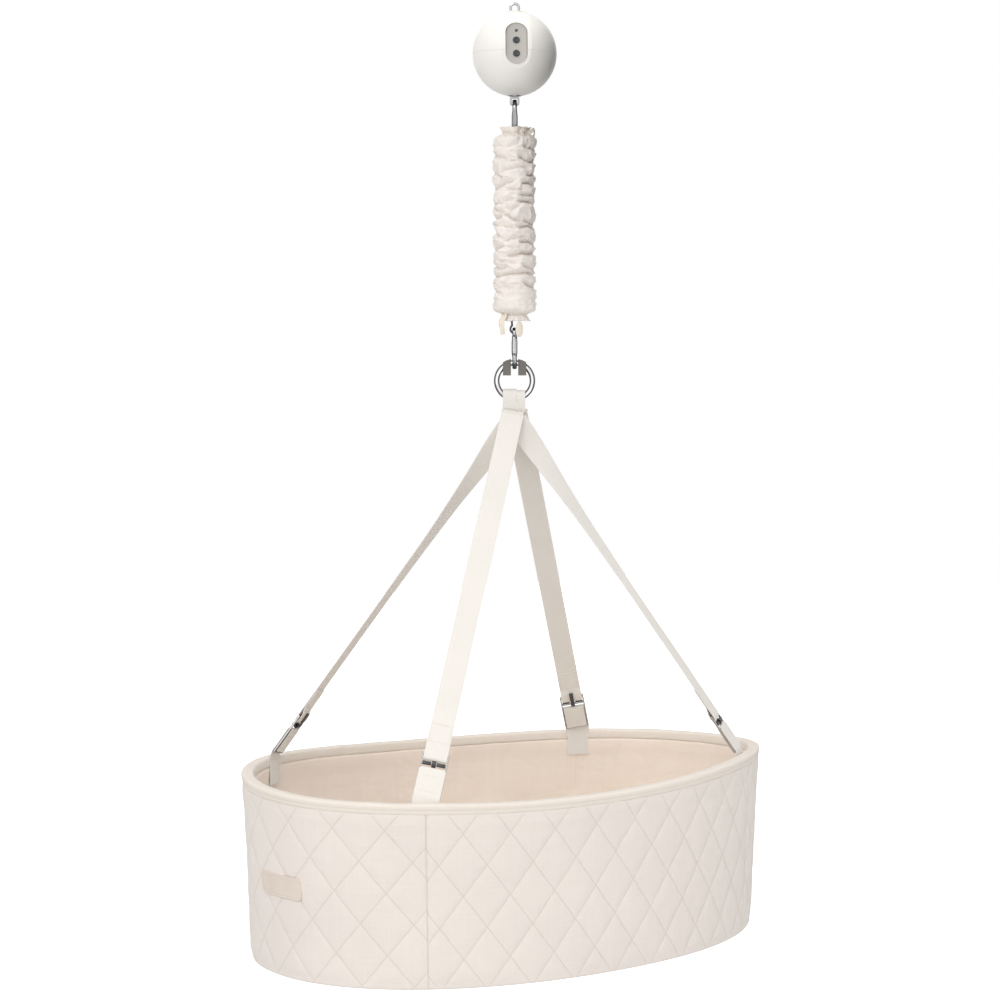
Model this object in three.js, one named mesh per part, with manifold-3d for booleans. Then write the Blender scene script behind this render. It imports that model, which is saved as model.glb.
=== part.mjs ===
// A baby cradle that hangs from one eye: a ball-shaped lift drive, a spring in a
// gathered sleeve, a steel ring, four webbing straps and a padded oval basket.
// Millimetres, +Z up. The origin is where the ceiling hook bears in the top eye.
import * as THREE from 'three';
import { mergeVertices } from 'three/addons/utils/BufferGeometryUtils.js';
import Module from 'manifold-3d';

const wasm = await Module();
wasm.setup();

// Clearances and overruns
const fit_gap = 0.3;
const running_gap = 0.4;
const hook_play = 0.8;
const cut_overrun = 4;

// How the hanging gear is turned about the hang axis against the basket
const hang_turn = -36.8 * Math.PI / 180;

// Top eye: a flat steel oval on a round stem
const eye_wire = 3.4;
const eye_thickness = 4;
const eye_slot_width = 8.4;
const eye_slot_height = 9.6;
const eye_stem_radius = 4;
const eye_head_radius = 8;
const eye_head_height = 3.6;

// Ball housing
const ball_radius = 60;
const ball_drop = 69.3;
const shell_wall = 3;
const ball_rounds = 28;
const ball_rows = 7;
const ball_inner_rows = 7;

// Control recess in the ball, a tall slot with round ends
const recess_width = 31;
const recess_height = 60;
const recess_tilt = 11 * Math.PI / 180;
const recess_turn = 2.5 * Math.PI / 180;
const recess_floor = 50;
const recess_collar_wall = 2;
const panel_thickness = 3;
const button_radius = 4.6;
const button_rim_radius = 6.2;
const button_rim_height = 1.2;
const button_proud = 1.2;
const button_spots = [4.9, -14.5];
const lens_radius = 1.9;
const lens_spot = 19;
const board_width = 25;
const board_height = 52;
const board_thickness = 1.6;
const board_distance = 38;
const standoff_radius = 2.2;
const standoff_spread = 48;

// Lift drive inside the ball
const chassis_radius = 46.4;
const chassis_thickness = 3;
const chassis_drop = 37;
const chassis_front_cut = 31;
const rod_width = 8;
const rod_depth = 6;
const rod_top_drop = 46.5;
const rack_pitch = 4;
const rack_tooth_height = 1.8;
const rack_tooth_root = 2.1;
const rack_tooth_tip = 1;
const rack_teeth = 12;
const pinion_teeth = 12;
const pinion_width = 8;
const pinion_side_gap = 1.2;
const pinion_drop = 81;
const pinion_shaft_radius = 3;
const pinion_shaft_grip = 9;
const gearbox_length = 16;
const gearbox_depth = 40;
const gearbox_height = 30;
const gearbox_front = 2;
const motor_radius = 12.5;
const motor_length = 29;
const motor_axis_y = 33;
const battery_size = { x: 28, y: 34, z: 18 };
const battery_corner = { x: -36, y: -22, z: -104 };
const battery_post_radius = 3;
const battery_post_shares = [0.28, 0.72];
const bush_radius = 9;
const bush_length = 5.5;

// Lower eye on the lift rod
const lower_eye_width = 14;
const lower_eye_wire = 3.2;
const lower_eye_slot = 6.6;
const lower_eye_thickness = 3.4;

// Snap hooks
const hook_thickness = 6.4;
const hook_wire = 4.8;
const hook_bow_radius = 14;
const hook_eye_radius = 8;
const hook_length = 60;
const gate_start_share = 0.34;
const gate_end_share = 0.8;

// Extension spring and its sleeve
const spring_radius = 13;
const spring_wire_radius = 1.6;
const spring_curls = 36;
const spring_coil_top = 208;
const spring_coil_bottom = 424;
const spring_loop_radius = 6;
const sleeve_top = 173;
const sleeve_bottom = 450;
const sleeve_radius = 29;
const sleeve_fold_depth = 4.5;
const sleeve_folds = 13;
const sleeve_neck_radius = 17;
const sleeve_neck_bore = 9.7;
const sleeve_neck_length = 11;
const sleeve_ruffle_flare = 3.6;
const sleeve_ruffle_wave_share = 0.3;
const sleeve_ruffle_waves = 5;
const sleeve_wander_shares = [0.9, 0.6];
const sleeve_wall = 1.6;
const tie_radius = 1.3;
const tie_bow_radius = 6;
const tie_knot_radius = 2.1;
const tie_tail_stand = 10;
const tie_tail_length = 30;
const tie_tail_width = 7;
const tie_bow_turn = -0.7;
const tie_tail_turn = 0.9;
const sleeve_tab_turn = Math.PI / 10;
const tab_size = { x: 11, y: 5, z: 22 };

// Steel ring and the two grey keepers on it
const lower_hook_top = 458.7;
const ring_wire_radius = 4;
const ring_radius = 25.7;
const keeper_inner_x = 5.2;
const keeper_width = 11.6;
const keeper_wall = 1.6;
const keeper_leg = 24;

// Webbing
const webbing_width = 32;
const webbing_thickness = 1.5;
const ring_loop_width = 20;
const ring_loop_narrow = 12;
const ring_loop_shift = -7;
const ring_loop_clear = 2.2;
const ring_loop_length = 20;
const strap_start_drop = 12;
const strap_spread_front = 3;
const strap_spread_side = 2;
const strap_stack = 3.7;
const strap_twist_power = 6;
const strap_twist_start_share = 0.035;
const strap_tail = 62;

// Basket
const basket_half_length = 410;
const basket_half_width = 275;
const basket_corner_power = 2.12;
const basket_height = 256;
const basket_bottom_share = 0.9715;
const basket_rim_drop = 1086.3;
const basket_shift_x = -7.4;
const basket_shift_y = 5.5;
const rim_twist = 6.5;
const rim_lift_at_straps = 2;
const rim_lift_at_ends = 2.7;
const strap_spacing_length = 578;
const panel_wall = 4;
const foam_wall_depth = 6;
const lining_wall = 2;
const binding_wall = 1.2;
const binding_leg = 13;
const base_fabric_wall = 2;
const base_board_wall = 5;
const base_edge_round = 5;
const mattress_height = 42;
const mattress_crown = 8;
const mattress_side_draw = 4;
const mattress_foot_share = 0.12;
const mattress_shoulder_share = 0.95;
const mattress_gap = 3;
const mattress_rows = 7;
const side_steps = 18;
const end_steps = 16;

// Label patch, left blank
const label_start_turn = 3.075;
const label_end_turn = 3.36;
const label_bottom = 112;
const label_height = 32;
const label_wall = 1.2;

// Buckles
const buckle_lift = 8;
const buckle_width = 37;
const buckle_rail = 2;
const buckle_thickness = 3;
const buckle_foot_bar = 6;
const buckle_tab_bar_at = 36;
const buckle_tab_bar = 3.5;
const buckle_pivot_at = 48.4;
const buckle_pivot_bar = 3;
const buckle_top_bar_at = 60;
const buckle_top_bar = 4;
const prong_width = 6;
const prong_thickness = 2;
const prong_overreach = 8;
const tab_sewn_length = 38;
const tab_curve_room = 0.6;

// Finishes
function finish(color, roughness, metalness) {
  return new THREE.MeshStandardMaterial({ color, roughness, metalness });
}

const quilt_cloth = () => finish(0xe6ded7, 0.9, 0);
const lining_cloth = () => finish(0xdccbbb, 0.9, 0);
const binding_cloth = () => finish(0xf0eee8, 0.85, 0);
const webbing_cloth = () => finish(0xeeeae2, 0.8, 0);
const sleeve_cloth = () => finish(0xeee0d6, 0.85, 0);
const housing_plastic = () => finish(0xe9e7e2, 0.45, 0);
const panel_plastic = () => finish(0xcdcac4, 0.5, 0);
const dark_rubber = () => finish(0x3c4144, 0.6, 0);
const bright_steel = () => finish(0xb9bbbd, 0.2, 1);
const dark_steel = () => finish(0x55575c, 0.35, 1);
const grey_nylon = () => finish(0x8f8a86, 0.6, 0);
const foam_core = () => finish(0xe9e4d2, 0.95, 0);
const board_wood = () => finish(0xc9a878, 0.8, 0);
const patch_leather = () => finish(0xe3d3c4, 0.7, 0);
const green_laminate = () => finish(0x2f6b45, 0.5, 0);
const black_case = () => finish(0x2a2c30, 0.5, 0);
const brass_bush = () => finish(0xb59a5a, 0.35, 1);

// Places of things on the hang axis, worked out from the sizes above
const ball_bottom = -ball_drop - ball_radius;
const ball_inner_radius = ball_radius - shell_wall;
const lower_eye_top = ball_bottom - fit_gap;
const lower_eye_bar_top = lower_eye_top - lower_eye_wire - lower_eye_slot;
const upper_hook_inner_top = lower_eye_bar_top + hook_play;
const upper_hook_top = upper_hook_inner_top + hook_wire;
const ring_top_inner = -lower_hook_top - hook_length + hook_wire + running_gap;
const ring_center = ring_top_inner - ring_radius + ring_wire_radius;
const ring_bottom_wire = ring_center - ring_radius;
const strap_top = ring_bottom_wire - ring_loop_length;
const rim_top = -basket_rim_drop;
const basket_bottom = rim_top - basket_height;
const wall_total = panel_wall + foam_wall_depth + lining_wall + 2 * fit_gap;
const seam_turn = Math.acos(
  (strap_spacing_length / 2 / basket_half_length) ** (basket_corner_power / 2),
);

const cradle = new THREE.Group();
const hanging_gear = new THREE.Group();
hanging_gear.rotation.z = hang_turn;
const ball = new THREE.Group();
ball.position.z = -ball_drop;
hanging_gear.add(ball);
const recess = new THREE.Group();
recess.rotation.order = 'ZXY';
recess.rotation.z = recess_turn;
recess.rotation.x = -recess_tilt;
ball.add(recess);
cradle.add(hanging_gear);

function put(group, name, geometry, material) {
  const mesh = new THREE.Mesh(geometry, material);
  mesh.name = name;
  group.add(mesh);
  return mesh;
}

// Solids
function asSolid(geometry) {
  const bare = geometry.clone();
  bare.deleteAttribute('normal');
  bare.deleteAttribute('uv');
  const merged = mergeVertices(bare, 1e-4);
  const mesh = new wasm.Mesh({
    numProp: 3,
    vertProperties: new Float32Array(merged.attributes.position.array),
    triVerts: new Uint32Array(merged.index.array),
  });
  return new wasm.Manifold(mesh);
}

function asGeometry(solid) {
  const mesh = solid.getMesh();
  const geometry = new THREE.BufferGeometry();
  geometry.setAttribute('position', new THREE.BufferAttribute(mesh.vertProperties, 3));
  geometry.setIndex(new THREE.BufferAttribute(mesh.triVerts, 1));
  return geometry;
}

function joined(...geometries) {
  const solids = geometries.map(asSolid);
  return asGeometry(solids.reduce((whole, piece) => whole.add(piece)));
}

function cutFrom(body, ...tools) {
  const solids = tools.map(asSolid);
  return asGeometry(solids.reduce((left, tool) => left.subtract(tool), asSolid(body)));
}

// A solid through a row of closed outlines, with flat ends or joined end to end
function loft(rows, endToEnd = false) {
  const across = rows[0].length;
  const places = rows.flat().flatMap((p) => [p.x, p.y, p.z]);
  const faces = [];
  const strips = endToEnd ? rows.length : rows.length - 1;
  for (let i = 0; i < strips; i += 1) {
    const here = i * across;
    const there = ((i + 1) % rows.length) * across;
    for (let j = 0; j < across; j += 1) {
      const k = (j + 1) % across;
      faces.push(here + j, here + k, there + k);
      faces.push(here + j, there + k, there + j);
    }
  }
  if (!endToEnd) {
    closeEnd(rows[0], 0, true, places, faces);
    closeEnd(rows[rows.length - 1], (rows.length - 1) * across, false, places, faces);
  }
  return solidOf(places, faces);
}

function closeEnd(row, first, backwards, places, faces) {
  const middle = row.reduce((sum, p) => sum.add(p), new THREE.Vector3());
  middle.divideScalar(row.length);
  const center = places.length / 3;
  places.push(middle.x, middle.y, middle.z);
  for (let j = 0; j < row.length; j += 1) {
    const k = (j + 1) % row.length;
    if (backwards) faces.push(center, first + k, first + j);
    else faces.push(center, first + j, first + k);
  }
}

function solidOf(places, faces) {
  let volume = 0;
  const corner = (i) => new THREE.Vector3(places[3 * i], places[3 * i + 1], places[3 * i + 2]);
  for (let i = 0; i < faces.length; i += 3) {
    const [a, b, c] = [corner(faces[i]), corner(faces[i + 1]), corner(faces[i + 2])];
    volume += a.dot(b.cross(c));
  }
  if (volume < 0) {
    for (let i = 0; i < faces.length; i += 3) {
      const kept = faces[i + 1];
      faces[i + 1] = faces[i + 2];
      faces[i + 2] = kept;
    }
  }
  const geometry = new THREE.BufferGeometry();
  geometry.setAttribute('position', new THREE.Float32BufferAttribute(places, 3));
  geometry.setIndex(faces);
  return geometry;
}

function box(low, high) {
  const size = high.clone().sub(low);
  const geometry = new THREE.BoxGeometry(size.x, size.y, size.z);
  geometry.translate((low.x + high.x) / 2, (low.y + high.y) / 2, (low.z + high.z) / 2);
  return geometry;
}

function at(x, y, z) {
  return new THREE.Vector3(x, y, z);
}

// A round bar between two heights on the Z axis
function post(radius, low, high, sides = 20) {
  const geometry = new THREE.CylinderGeometry(radius, radius, high - low, sides);
  geometry.rotateX(Math.PI / 2);
  geometry.translate(0, 0, (low + high) / 2);
  return geometry;
}

function barAlongX(radius, from, to, sides = 20) {
  const geometry = new THREE.CylinderGeometry(radius, radius, to - from, sides);
  geometry.rotateZ(Math.PI / 2);
  geometry.translate((from + to) / 2, 0, 0);
  return geometry;
}

// An outline in X and Z, given thickness along Y
function plateXZ(shape, thickness, curveSegments = 8) {
  const geometry = new THREE.ExtrudeGeometry(shape, {
    depth: thickness, bevelEnabled: false, curveSegments,
  });
  geometry.rotateX(Math.PI / 2);
  geometry.translate(0, thickness / 2, 0);
  return geometry;
}

function oval(width, height, middle = 0) {
  const shape = new THREE.Shape();
  return ovalPath(shape, width, height, middle);
}

function ovalPath(path, width, height, middle = 0) {
  const radius = width / 2;
  const straight = height / 2 - radius;
  path.absarc(0, middle + straight, radius, 0, Math.PI, false);
  path.absarc(0, middle - straight, radius, Math.PI, 2 * Math.PI, false);
  path.closePath();
  return path;
}

// Top eye
function topEye() {
  const outer_width = eye_slot_width + 2 * eye_wire;
  const outer_height = eye_slot_height + 2 * eye_wire;
  const middle = -eye_slot_height / 2;
  const shape = oval(outer_width, outer_height, middle);
  shape.holes.push(ovalPath(new THREE.Path(), eye_slot_width, eye_slot_height, middle));
  const plate = plateXZ(shape, eye_thickness);
  const head_top = -chassis_drop - chassis_thickness - fit_gap;
  const stem_top = -eye_slot_height - eye_wire / 2;
  const stem = post(eye_stem_radius, head_top - eye_head_height / 2, stem_top);
  const head = post(eye_head_radius, head_top - eye_head_height, head_top);
  return joined(plate, stem, head);
}

// Ball housing, about the ball's own middle
function hemisphere(outer, inner, upper) {
  const rows = [];
  const low = fit_gap / 2;
  const start = Math.asin(low / outer);
  for (let i = 0; i <= ball_rows; i += 1) {
    const lean = start + (Math.PI / 2 - start) * i / ball_rows;
    rows.push(new THREE.Vector2(outer * Math.cos(lean), outer * Math.sin(lean)));
  }
  const inner_start = Math.asin(low / inner);
  for (let i = ball_inner_rows; i >= 0; i -= 1) {
    const lean = inner_start + (Math.PI / 2 - inner_start) * i / ball_inner_rows;
    rows.push(new THREE.Vector2(inner * Math.cos(lean), inner * Math.sin(lean)));
  }
  rows[ball_rows].x = 0;
  rows[ball_rows + 1].x = 0;
  rows.push(rows[0].clone());
  const geometry = new THREE.LatheGeometry(rows, ball_rounds);
  geometry.rotateX(Math.PI / 2);
  if (!upper) geometry.rotateX(Math.PI);
  return geometry;
}

function toRecess(geometry) {
  recess.updateMatrix();
  return geometry.applyMatrix4(recess.matrix);
}

// A capsule prism that looks out of the recess, from one distance to another
function recessPrism(width, height, near, far) {
  const geometry = plateXZ(oval(width, height), far - near);
  geometry.translate(0, -(near + far) / 2, 0);
  return geometry;
}

function shell(upper) {
  const full = hemisphere(ball_radius, ball_inner_radius, upper);
  const collar_width = recess_width + 2 * recess_collar_wall;
  const collar_height = recess_height + 2 * recess_collar_wall;
  const collar_back = recess_floor - panel_thickness;
  const prism = toRecess(recessPrism(collar_width, collar_height, collar_back, ball_radius));
  const solid_half = hemisphere(ball_radius, ball_radius / 2, upper);
  const collar = asSolid(prism).intersect(asSolid(solid_half));
  const hole_reach = ball_radius + cut_overrun;
  const hole = recessPrism(recess_width, recess_height, collar_back - cut_overrun, hole_reach);
  return asSolid(full).add(collar).subtract(asSolid(toRecess(hole)));
}

function upperShell() {
  const stem_hole = post(eye_stem_radius + running_gap, 0, ball_radius + cut_overrun);
  const half_width = eye_slot_width / 2 + eye_wire + fit_gap;
  const half_depth = eye_thickness / 2 + fit_gap;
  const slot = box(
    at(-half_width, -half_depth, ball_radius / 2),
    at(half_width, half_depth, ball_radius + cut_overrun),
  );
  return asGeometry(shell(true).subtract(asSolid(stem_hole)).subtract(asSolid(slot)));
}

function lowerShell() {
  const bush_hole = post(bush_radius + fit_gap, -ball_radius - cut_overrun, 0);
  let body = shell(false);
  for (const share of battery_post_shares) {
    const x = battery_corner.x + battery_size.x * share;
    const y = battery_corner.y + battery_size.y * share;
    const reach = Math.sqrt(ball_inner_radius ** 2 - x ** 2 - y ** 2);
    const top = battery_corner.z + ball_drop - fit_gap;
    const rise = post(battery_post_radius, -reach - shell_wall / 3, top, 12);
    rise.translate(x, y, 0);
    body = body.add(asSolid(rise));
  }
  return asGeometry(body.subtract(asSolid(bush_hole)));
}

// Round bar that looks out of the recess
function recessBar(radius, near, far, height, sides = 16) {
  const geometry = new THREE.CylinderGeometry(radius, radius, far - near, sides);
  geometry.translate(0, -(near + far) / 2, height);
  return geometry;
}

function controlPanel() {
  const width = recess_width - 2 * fit_gap;
  const height = recess_height - 2 * fit_gap;
  const back = recess_floor - panel_thickness;
  const plate = recessPrism(width, height, back, recess_floor);
  const posts = [-1, 1].map((side) => {
    const place = side * standoff_spread / 2;
    const board_face = board_distance + board_thickness + fit_gap;
    return recessBar(standoff_radius, board_face, back + panel_thickness / 2, place, 10);
  });
  const holes = button_spots.map((spot) => (
    recessBar(button_radius + fit_gap, back - cut_overrun, recess_floor + cut_overrun, spot)
  ));
  const lens_hole = recessBar(
    lens_radius + fit_gap, back - cut_overrun, recess_floor + cut_overrun, lens_spot, 12,
  );
  return cutFrom(joined(plate, ...posts), ...holes, lens_hole);
}

function button(spot) {
  const back = recess_floor - panel_thickness - fit_gap;
  const top = recess_floor + button_proud;
  const cap = recessBar(button_radius, back - button_rim_height / 2, top, spot);
  const rim = recessBar(button_rim_radius, back - button_rim_height, back, spot);
  return joined(cap, rim);
}

function lens() {
  const back = recess_floor - panel_thickness;
  return recessBar(lens_radius, back, recess_floor + fit_gap, lens_spot, 12);
}

function circuitBoard() {
  const near = board_distance;
  const far = board_distance + board_thickness;
  return box(
    at(-board_width / 2, -far, -board_height / 2),
    at(board_width / 2, -near, board_height / 2),
  );
}

// Lift drive, in the hanging gear's own frame
const gearbox_left = pinion_width / 2 + pinion_side_gap;
const pinion_pitch_radius = pinion_teeth * rack_pitch / (2 * Math.PI);
const pinion_y = rod_depth / 2 + rack_tooth_height / 2 + pinion_pitch_radius;
const gearbox_low = -pinion_drop - gearbox_height / 2;
const chassis_low = -chassis_drop - chassis_thickness;

function chassis() {
  const disc = post(chassis_radius, chassis_low, -chassis_drop, ball_rounds);
  const bracket_left = gearbox_left + gearbox_length + fit_gap;
  const bracket_right = bracket_left + chassis_thickness;
  const bracket_back = gearbox_depth - gearbox_front;
  const bracket = box(
    at(bracket_left, -gearbox_front, gearbox_low),
    at(bracket_right, bracket_back, -chassis_drop - chassis_thickness / 2),
  );
  const stem_hole = post(eye_stem_radius + fit_gap, chassis_low - cut_overrun, 0);
  const front = box(
    at(-ball_radius, -ball_radius, chassis_low - cut_overrun),
    at(ball_radius, -chassis_front_cut, 0),
  );
  return cutFrom(joined(disc, bracket), stem_hole, front);
}

function gearbox() {
  const block = box(
    at(gearbox_left, gearbox_front, gearbox_low),
    at(gearbox_left + gearbox_length, gearbox_front + gearbox_depth, gearbox_low + gearbox_height),
  );
  const bore = barAlongX(
    pinion_shaft_radius + fit_gap, gearbox_left - cut_overrun,
    gearbox_left + pinion_shaft_grip + fit_gap,
  );
  bore.translate(0, pinion_y, -pinion_drop);
  return cutFrom(block, bore);
}

function motor() {
  const right = gearbox_left - fit_gap;
  const can = barAlongX(motor_radius, right - motor_length, right, 24);
  can.translate(0, motor_axis_y, -pinion_drop);
  return can;
}

function pinion() {
  const root = pinion_pitch_radius - rack_tooth_height / 2;
  const tip = pinion_pitch_radius + rack_tooth_height / 2;
  const shape = new THREE.Shape();
  const root_half = rack_tooth_root / 2 / root;
  const tip_half = rack_tooth_tip / 2 / tip;
  for (let i = 0; i < pinion_teeth; i += 1) {
    const middle = (i + 0.5) * 2 * Math.PI / pinion_teeth;
    const corners = [
      [root, -root_half], [tip, -tip_half], [tip, tip_half], [root, root_half],
    ];
    for (const [radius, offset] of corners) {
      const turn = Math.PI + middle + offset;
      const x = radius * Math.cos(turn);
      const y = radius * Math.sin(turn);
      if (i === 0 && radius === root && offset < 0) shape.moveTo(x, y);
      else shape.lineTo(x, y);
    }
  }
  shape.closePath();
  const wheel = new THREE.ExtrudeGeometry(shape, { depth: pinion_width, bevelEnabled: false });
  wheel.rotateY(-Math.PI / 2);
  wheel.rotateX(Math.PI / 2);
  wheel.translate(pinion_width / 2, 0, 0);
  const shaft = barAlongX(pinion_shaft_radius, 0, gearbox_left + pinion_shaft_grip, 16);
  const whole = joined(wheel, shaft);
  whole.translate(0, pinion_y, -pinion_drop);
  return whole;
}

function liftRod() {
  const half_x = rod_width / 2;
  const half_y = rod_depth / 2;
  const shape = new THREE.Shape();
  const rack_top = -rod_top_drop - rack_pitch / 2;
  shape.moveTo(-half_y, lower_eye_top);
  shape.lineTo(half_y, lower_eye_top);
  for (let i = 0; i < rack_teeth; i += 1) {
    const middle = -pinion_drop + (i - rack_teeth / 3) * rack_pitch;
    if (middle > rack_top) break;
    shape.lineTo(half_y, middle - rack_tooth_root / 2);
    shape.lineTo(half_y + rack_tooth_height, middle - rack_tooth_tip / 2);
    shape.lineTo(half_y + rack_tooth_height, middle + rack_tooth_tip / 2);
    shape.lineTo(half_y, middle + rack_tooth_root / 2);
  }
  shape.lineTo(half_y, -rod_top_drop);
  shape.lineTo(-half_y, -rod_top_drop);
  shape.closePath();
  const bar = new THREE.ExtrudeGeometry(shape, { depth: rod_width, bevelEnabled: false });
  bar.rotateX(Math.PI / 2);
  bar.rotateZ(Math.PI / 2);
  bar.translate(-half_x, 0, 0);
  const eye_height = lower_eye_slot + 2 * lower_eye_wire;
  const eye_shape = roundedRectangle(lower_eye_width, eye_height, lower_eye_wire);
  const slot_width = lower_eye_width - 2 * lower_eye_wire;
  eye_shape.holes.push(rectanglePath(new THREE.Path(), slot_width, lower_eye_slot));
  const eye = plateXZ(eye_shape, lower_eye_thickness, 4);
  eye.translate(0, 0, lower_eye_top - eye_height / 2);
  const neck = box(
    at(-half_x, -lower_eye_thickness / 2, lower_eye_top - lower_eye_wire / 2),
    at(half_x, lower_eye_thickness / 2, lower_eye_top + lower_eye_wire),
  );
  return joined(bar, neck, eye);
}

function rectanglePath(path, width, height) {
  path.moveTo(-width / 2, -height / 2);
  path.lineTo(width / 2, -height / 2);
  path.lineTo(width / 2, height / 2);
  path.lineTo(-width / 2, height / 2);
  path.closePath();
  return path;
}

function roundedRectangle(width, height, radius) {
  const shape = new THREE.Shape();
  const x = width / 2 - radius;
  const y = height / 2 - radius;
  shape.absarc(x, y, radius, 0, Math.PI / 2, false);
  shape.absarc(-x, y, radius, Math.PI / 2, Math.PI, false);
  shape.absarc(-x, -y, radius, Math.PI, 1.5 * Math.PI, false);
  shape.absarc(x, -y, radius, 1.5 * Math.PI, 2 * Math.PI, false);
  shape.closePath();
  return shape;
}

function battery() {
  const corner = battery_corner;
  return box(
    at(corner.x, corner.y, corner.z),
    at(corner.x + battery_size.x, corner.y + battery_size.y, corner.z + battery_size.z),
  );
}

function guideBush() {
  const low = ball_bottom;
  const ring = post(bush_radius, low, low + bush_length);
  const bore = box(
    at(-rod_width / 2 - fit_gap, -rod_depth / 2 - fit_gap, low - cut_overrun),
    at(rod_width / 2 + fit_gap, rod_depth / 2 + fit_gap, low + bush_length + cut_overrun),
  );
  return cutFrom(ring, bore);
}

// Snap hooks, drawn with the bow up in Y and Z, then turned over for the lower one
function hookOutline(inset) {
  const bow = hook_bow_radius - inset;
  const eye = hook_eye_radius - inset;
  const reach = hook_length - hook_bow_radius - hook_eye_radius;
  const lean = Math.asin((hook_bow_radius - hook_eye_radius) / reach);
  const shape = inset ? new THREE.Path() : new THREE.Shape();
  const bow_middle = -hook_bow_radius;
  const eye_middle = -hook_length + hook_eye_radius;
  shape.absarc(0, bow_middle, bow, -lean, Math.PI + lean, false);
  shape.absarc(0, eye_middle, eye, Math.PI + lean, 2 * Math.PI - lean, false);
  shape.closePath();
  return shape;
}

function hookPlate() {
  const shape = hookOutline(0);
  shape.holes.push(hookOutline(hook_wire));
  return asSolid(plateXZ(shape, hook_thickness, 10));
}

// The gate turns about the inner corner of its foot, so its tip is cut to an arc
function gateRoom(gap) {
  const reach = hook_length - hook_bow_radius - hook_eye_radius;
  const lean = Math.asin((hook_bow_radius - hook_eye_radius) / reach);
  const from = hook_length * gate_start_share;
  const foot = hook_length * gate_end_share - fit_gap;
  const outerAt = (drop) => (
    (hook_bow_radius - (drop - hook_bow_radius) * Math.sin(lean)) / Math.cos(lean)
  );
  const pivot = outerAt(foot) - hook_wire / Math.cos(lean);
  const swing = Math.hypot(outerAt(from) - pivot, foot - from) - gap;
  const arc = new THREE.CylinderGeometry(swing, swing, 2 * hook_thickness, 72);
  arc.translate(pivot, 0, -foot);
  const window = box(
    at(0, -hook_thickness, -foot - fit_gap + gap),
    at(hook_bow_radius + cut_overrun, hook_thickness, -hook_bow_radius),
  );
  return asSolid(arc).intersect(asSolid(window));
}

function hookBody() {
  return asGeometry(hookPlate().subtract(gateRoom(0)));
}

function hookGate() {
  return asGeometry(hookPlate().intersect(gateRoom(fit_gap)));
}

function edgeOn(geometry) {
  return geometry.rotateZ(Math.PI / 2);
}

function upperHookPiece(geometry) {
  return edgeOn(geometry).translate(0, 0, upper_hook_top);
}

function lowerHookPiece(geometry) {
  const turned = edgeOn(geometry).rotateX(Math.PI);
  return turned.translate(0, 0, -lower_hook_top - hook_length);
}

// Extension spring with a loop at each end, one unbroken tube
const spring_top_loop = upper_hook_top - hook_length + hook_wire / 2;
const spring_bottom_loop = -lower_hook_top - hook_wire / 2;

function springRoute() {
  const steps_a_curl = 8;
  const loop_steps = 12;
  const loop_start = -0.3 * Math.PI;
  const loop_end = 1.3 * Math.PI;
  const points = [];
  for (let i = 0; i <= loop_steps; i += 1) {
    const turn = loop_start + (loop_end - loop_start) * i / loop_steps;
    const x = spring_loop_radius * Math.cos(turn);
    const z = spring_top_loop + spring_loop_radius * Math.sin(turn);
    points.push(at(x, 0, z));
  }
  const coil = [];
  const steps = spring_curls * steps_a_curl;
  for (let i = 0; i <= steps; i += 1) {
    const turn = Math.PI + 2 * Math.PI * i / steps_a_curl;
    const x = spring_radius * Math.cos(turn);
    const y = spring_radius * Math.sin(turn);
    const drop = spring_coil_top + (spring_coil_bottom - spring_coil_top) * i / steps;
    coil.push(at(x, y, -drop));
  }
  const leg = spring_loop_radius + spring_wire_radius;
  points.push(at(-spring_loop_radius, 0, -spring_coil_top + leg));
  points.push(...coil);
  points.push(at(-spring_loop_radius, 0, -spring_coil_bottom - leg));
  for (let i = 0; i <= loop_steps; i += 1) {
    const turn = loop_end - (loop_end - loop_start) * i / loop_steps;
    const x = spring_loop_radius * Math.cos(turn);
    const z = spring_bottom_loop - spring_loop_radius * Math.sin(turn);
    points.push(at(x, 0, z));
  }
  return points;
}

function tube(points, radius, sides) {
  const rows = [];
  let normal = at(0, 1, 0);
  for (let i = 0; i < points.length; i += 1) {
    const before = points[Math.max(i - 1, 0)];
    const after = points[Math.min(i + 1, points.length - 1)];
    const along = after.clone().sub(before).normalize();
    normal.addScaledVector(along, -normal.dot(along)).normalize();
    const side = along.clone().cross(normal);
    const row = [];
    for (let j = 0; j < sides; j += 1) {
      const turn = 2 * Math.PI * j / sides;
      const p = points[i].clone();
      p.addScaledVector(normal, radius * Math.cos(turn));
      p.addScaledVector(side, radius * Math.sin(turn));
      row.push(p);
    }
    rows.push(row);
  }
  return loft(rows);
}

function leastGap(points, radius, apart) {
  let least = Infinity;
  for (let i = 0; i < points.length; i += 1) {
    for (let j = i + apart; j < points.length; j += 1) {
      least = Math.min(least, points[i].distanceTo(points[j]));
    }
  }
  return least - 2 * radius;
}

function spring() {
  const route = springRoute();
  const apart = 5;
  const gap = leastGap(route, spring_wire_radius, apart);
  console.log(`spring: least gap to itself ${gap.toFixed(2)} mm`);
  return tube(route, spring_wire_radius, 5);
}

// Gathered sleeve, open at both ends, with scrunched folds round the spring
const sleeve_length = sleeve_bottom - sleeve_top;
const sleeve_full_end = 3 * sleeve_neck_length;
const neck_low = sleeve_neck_length - tie_radius;
const neck_high = sleeve_neck_length + tie_radius;

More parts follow.
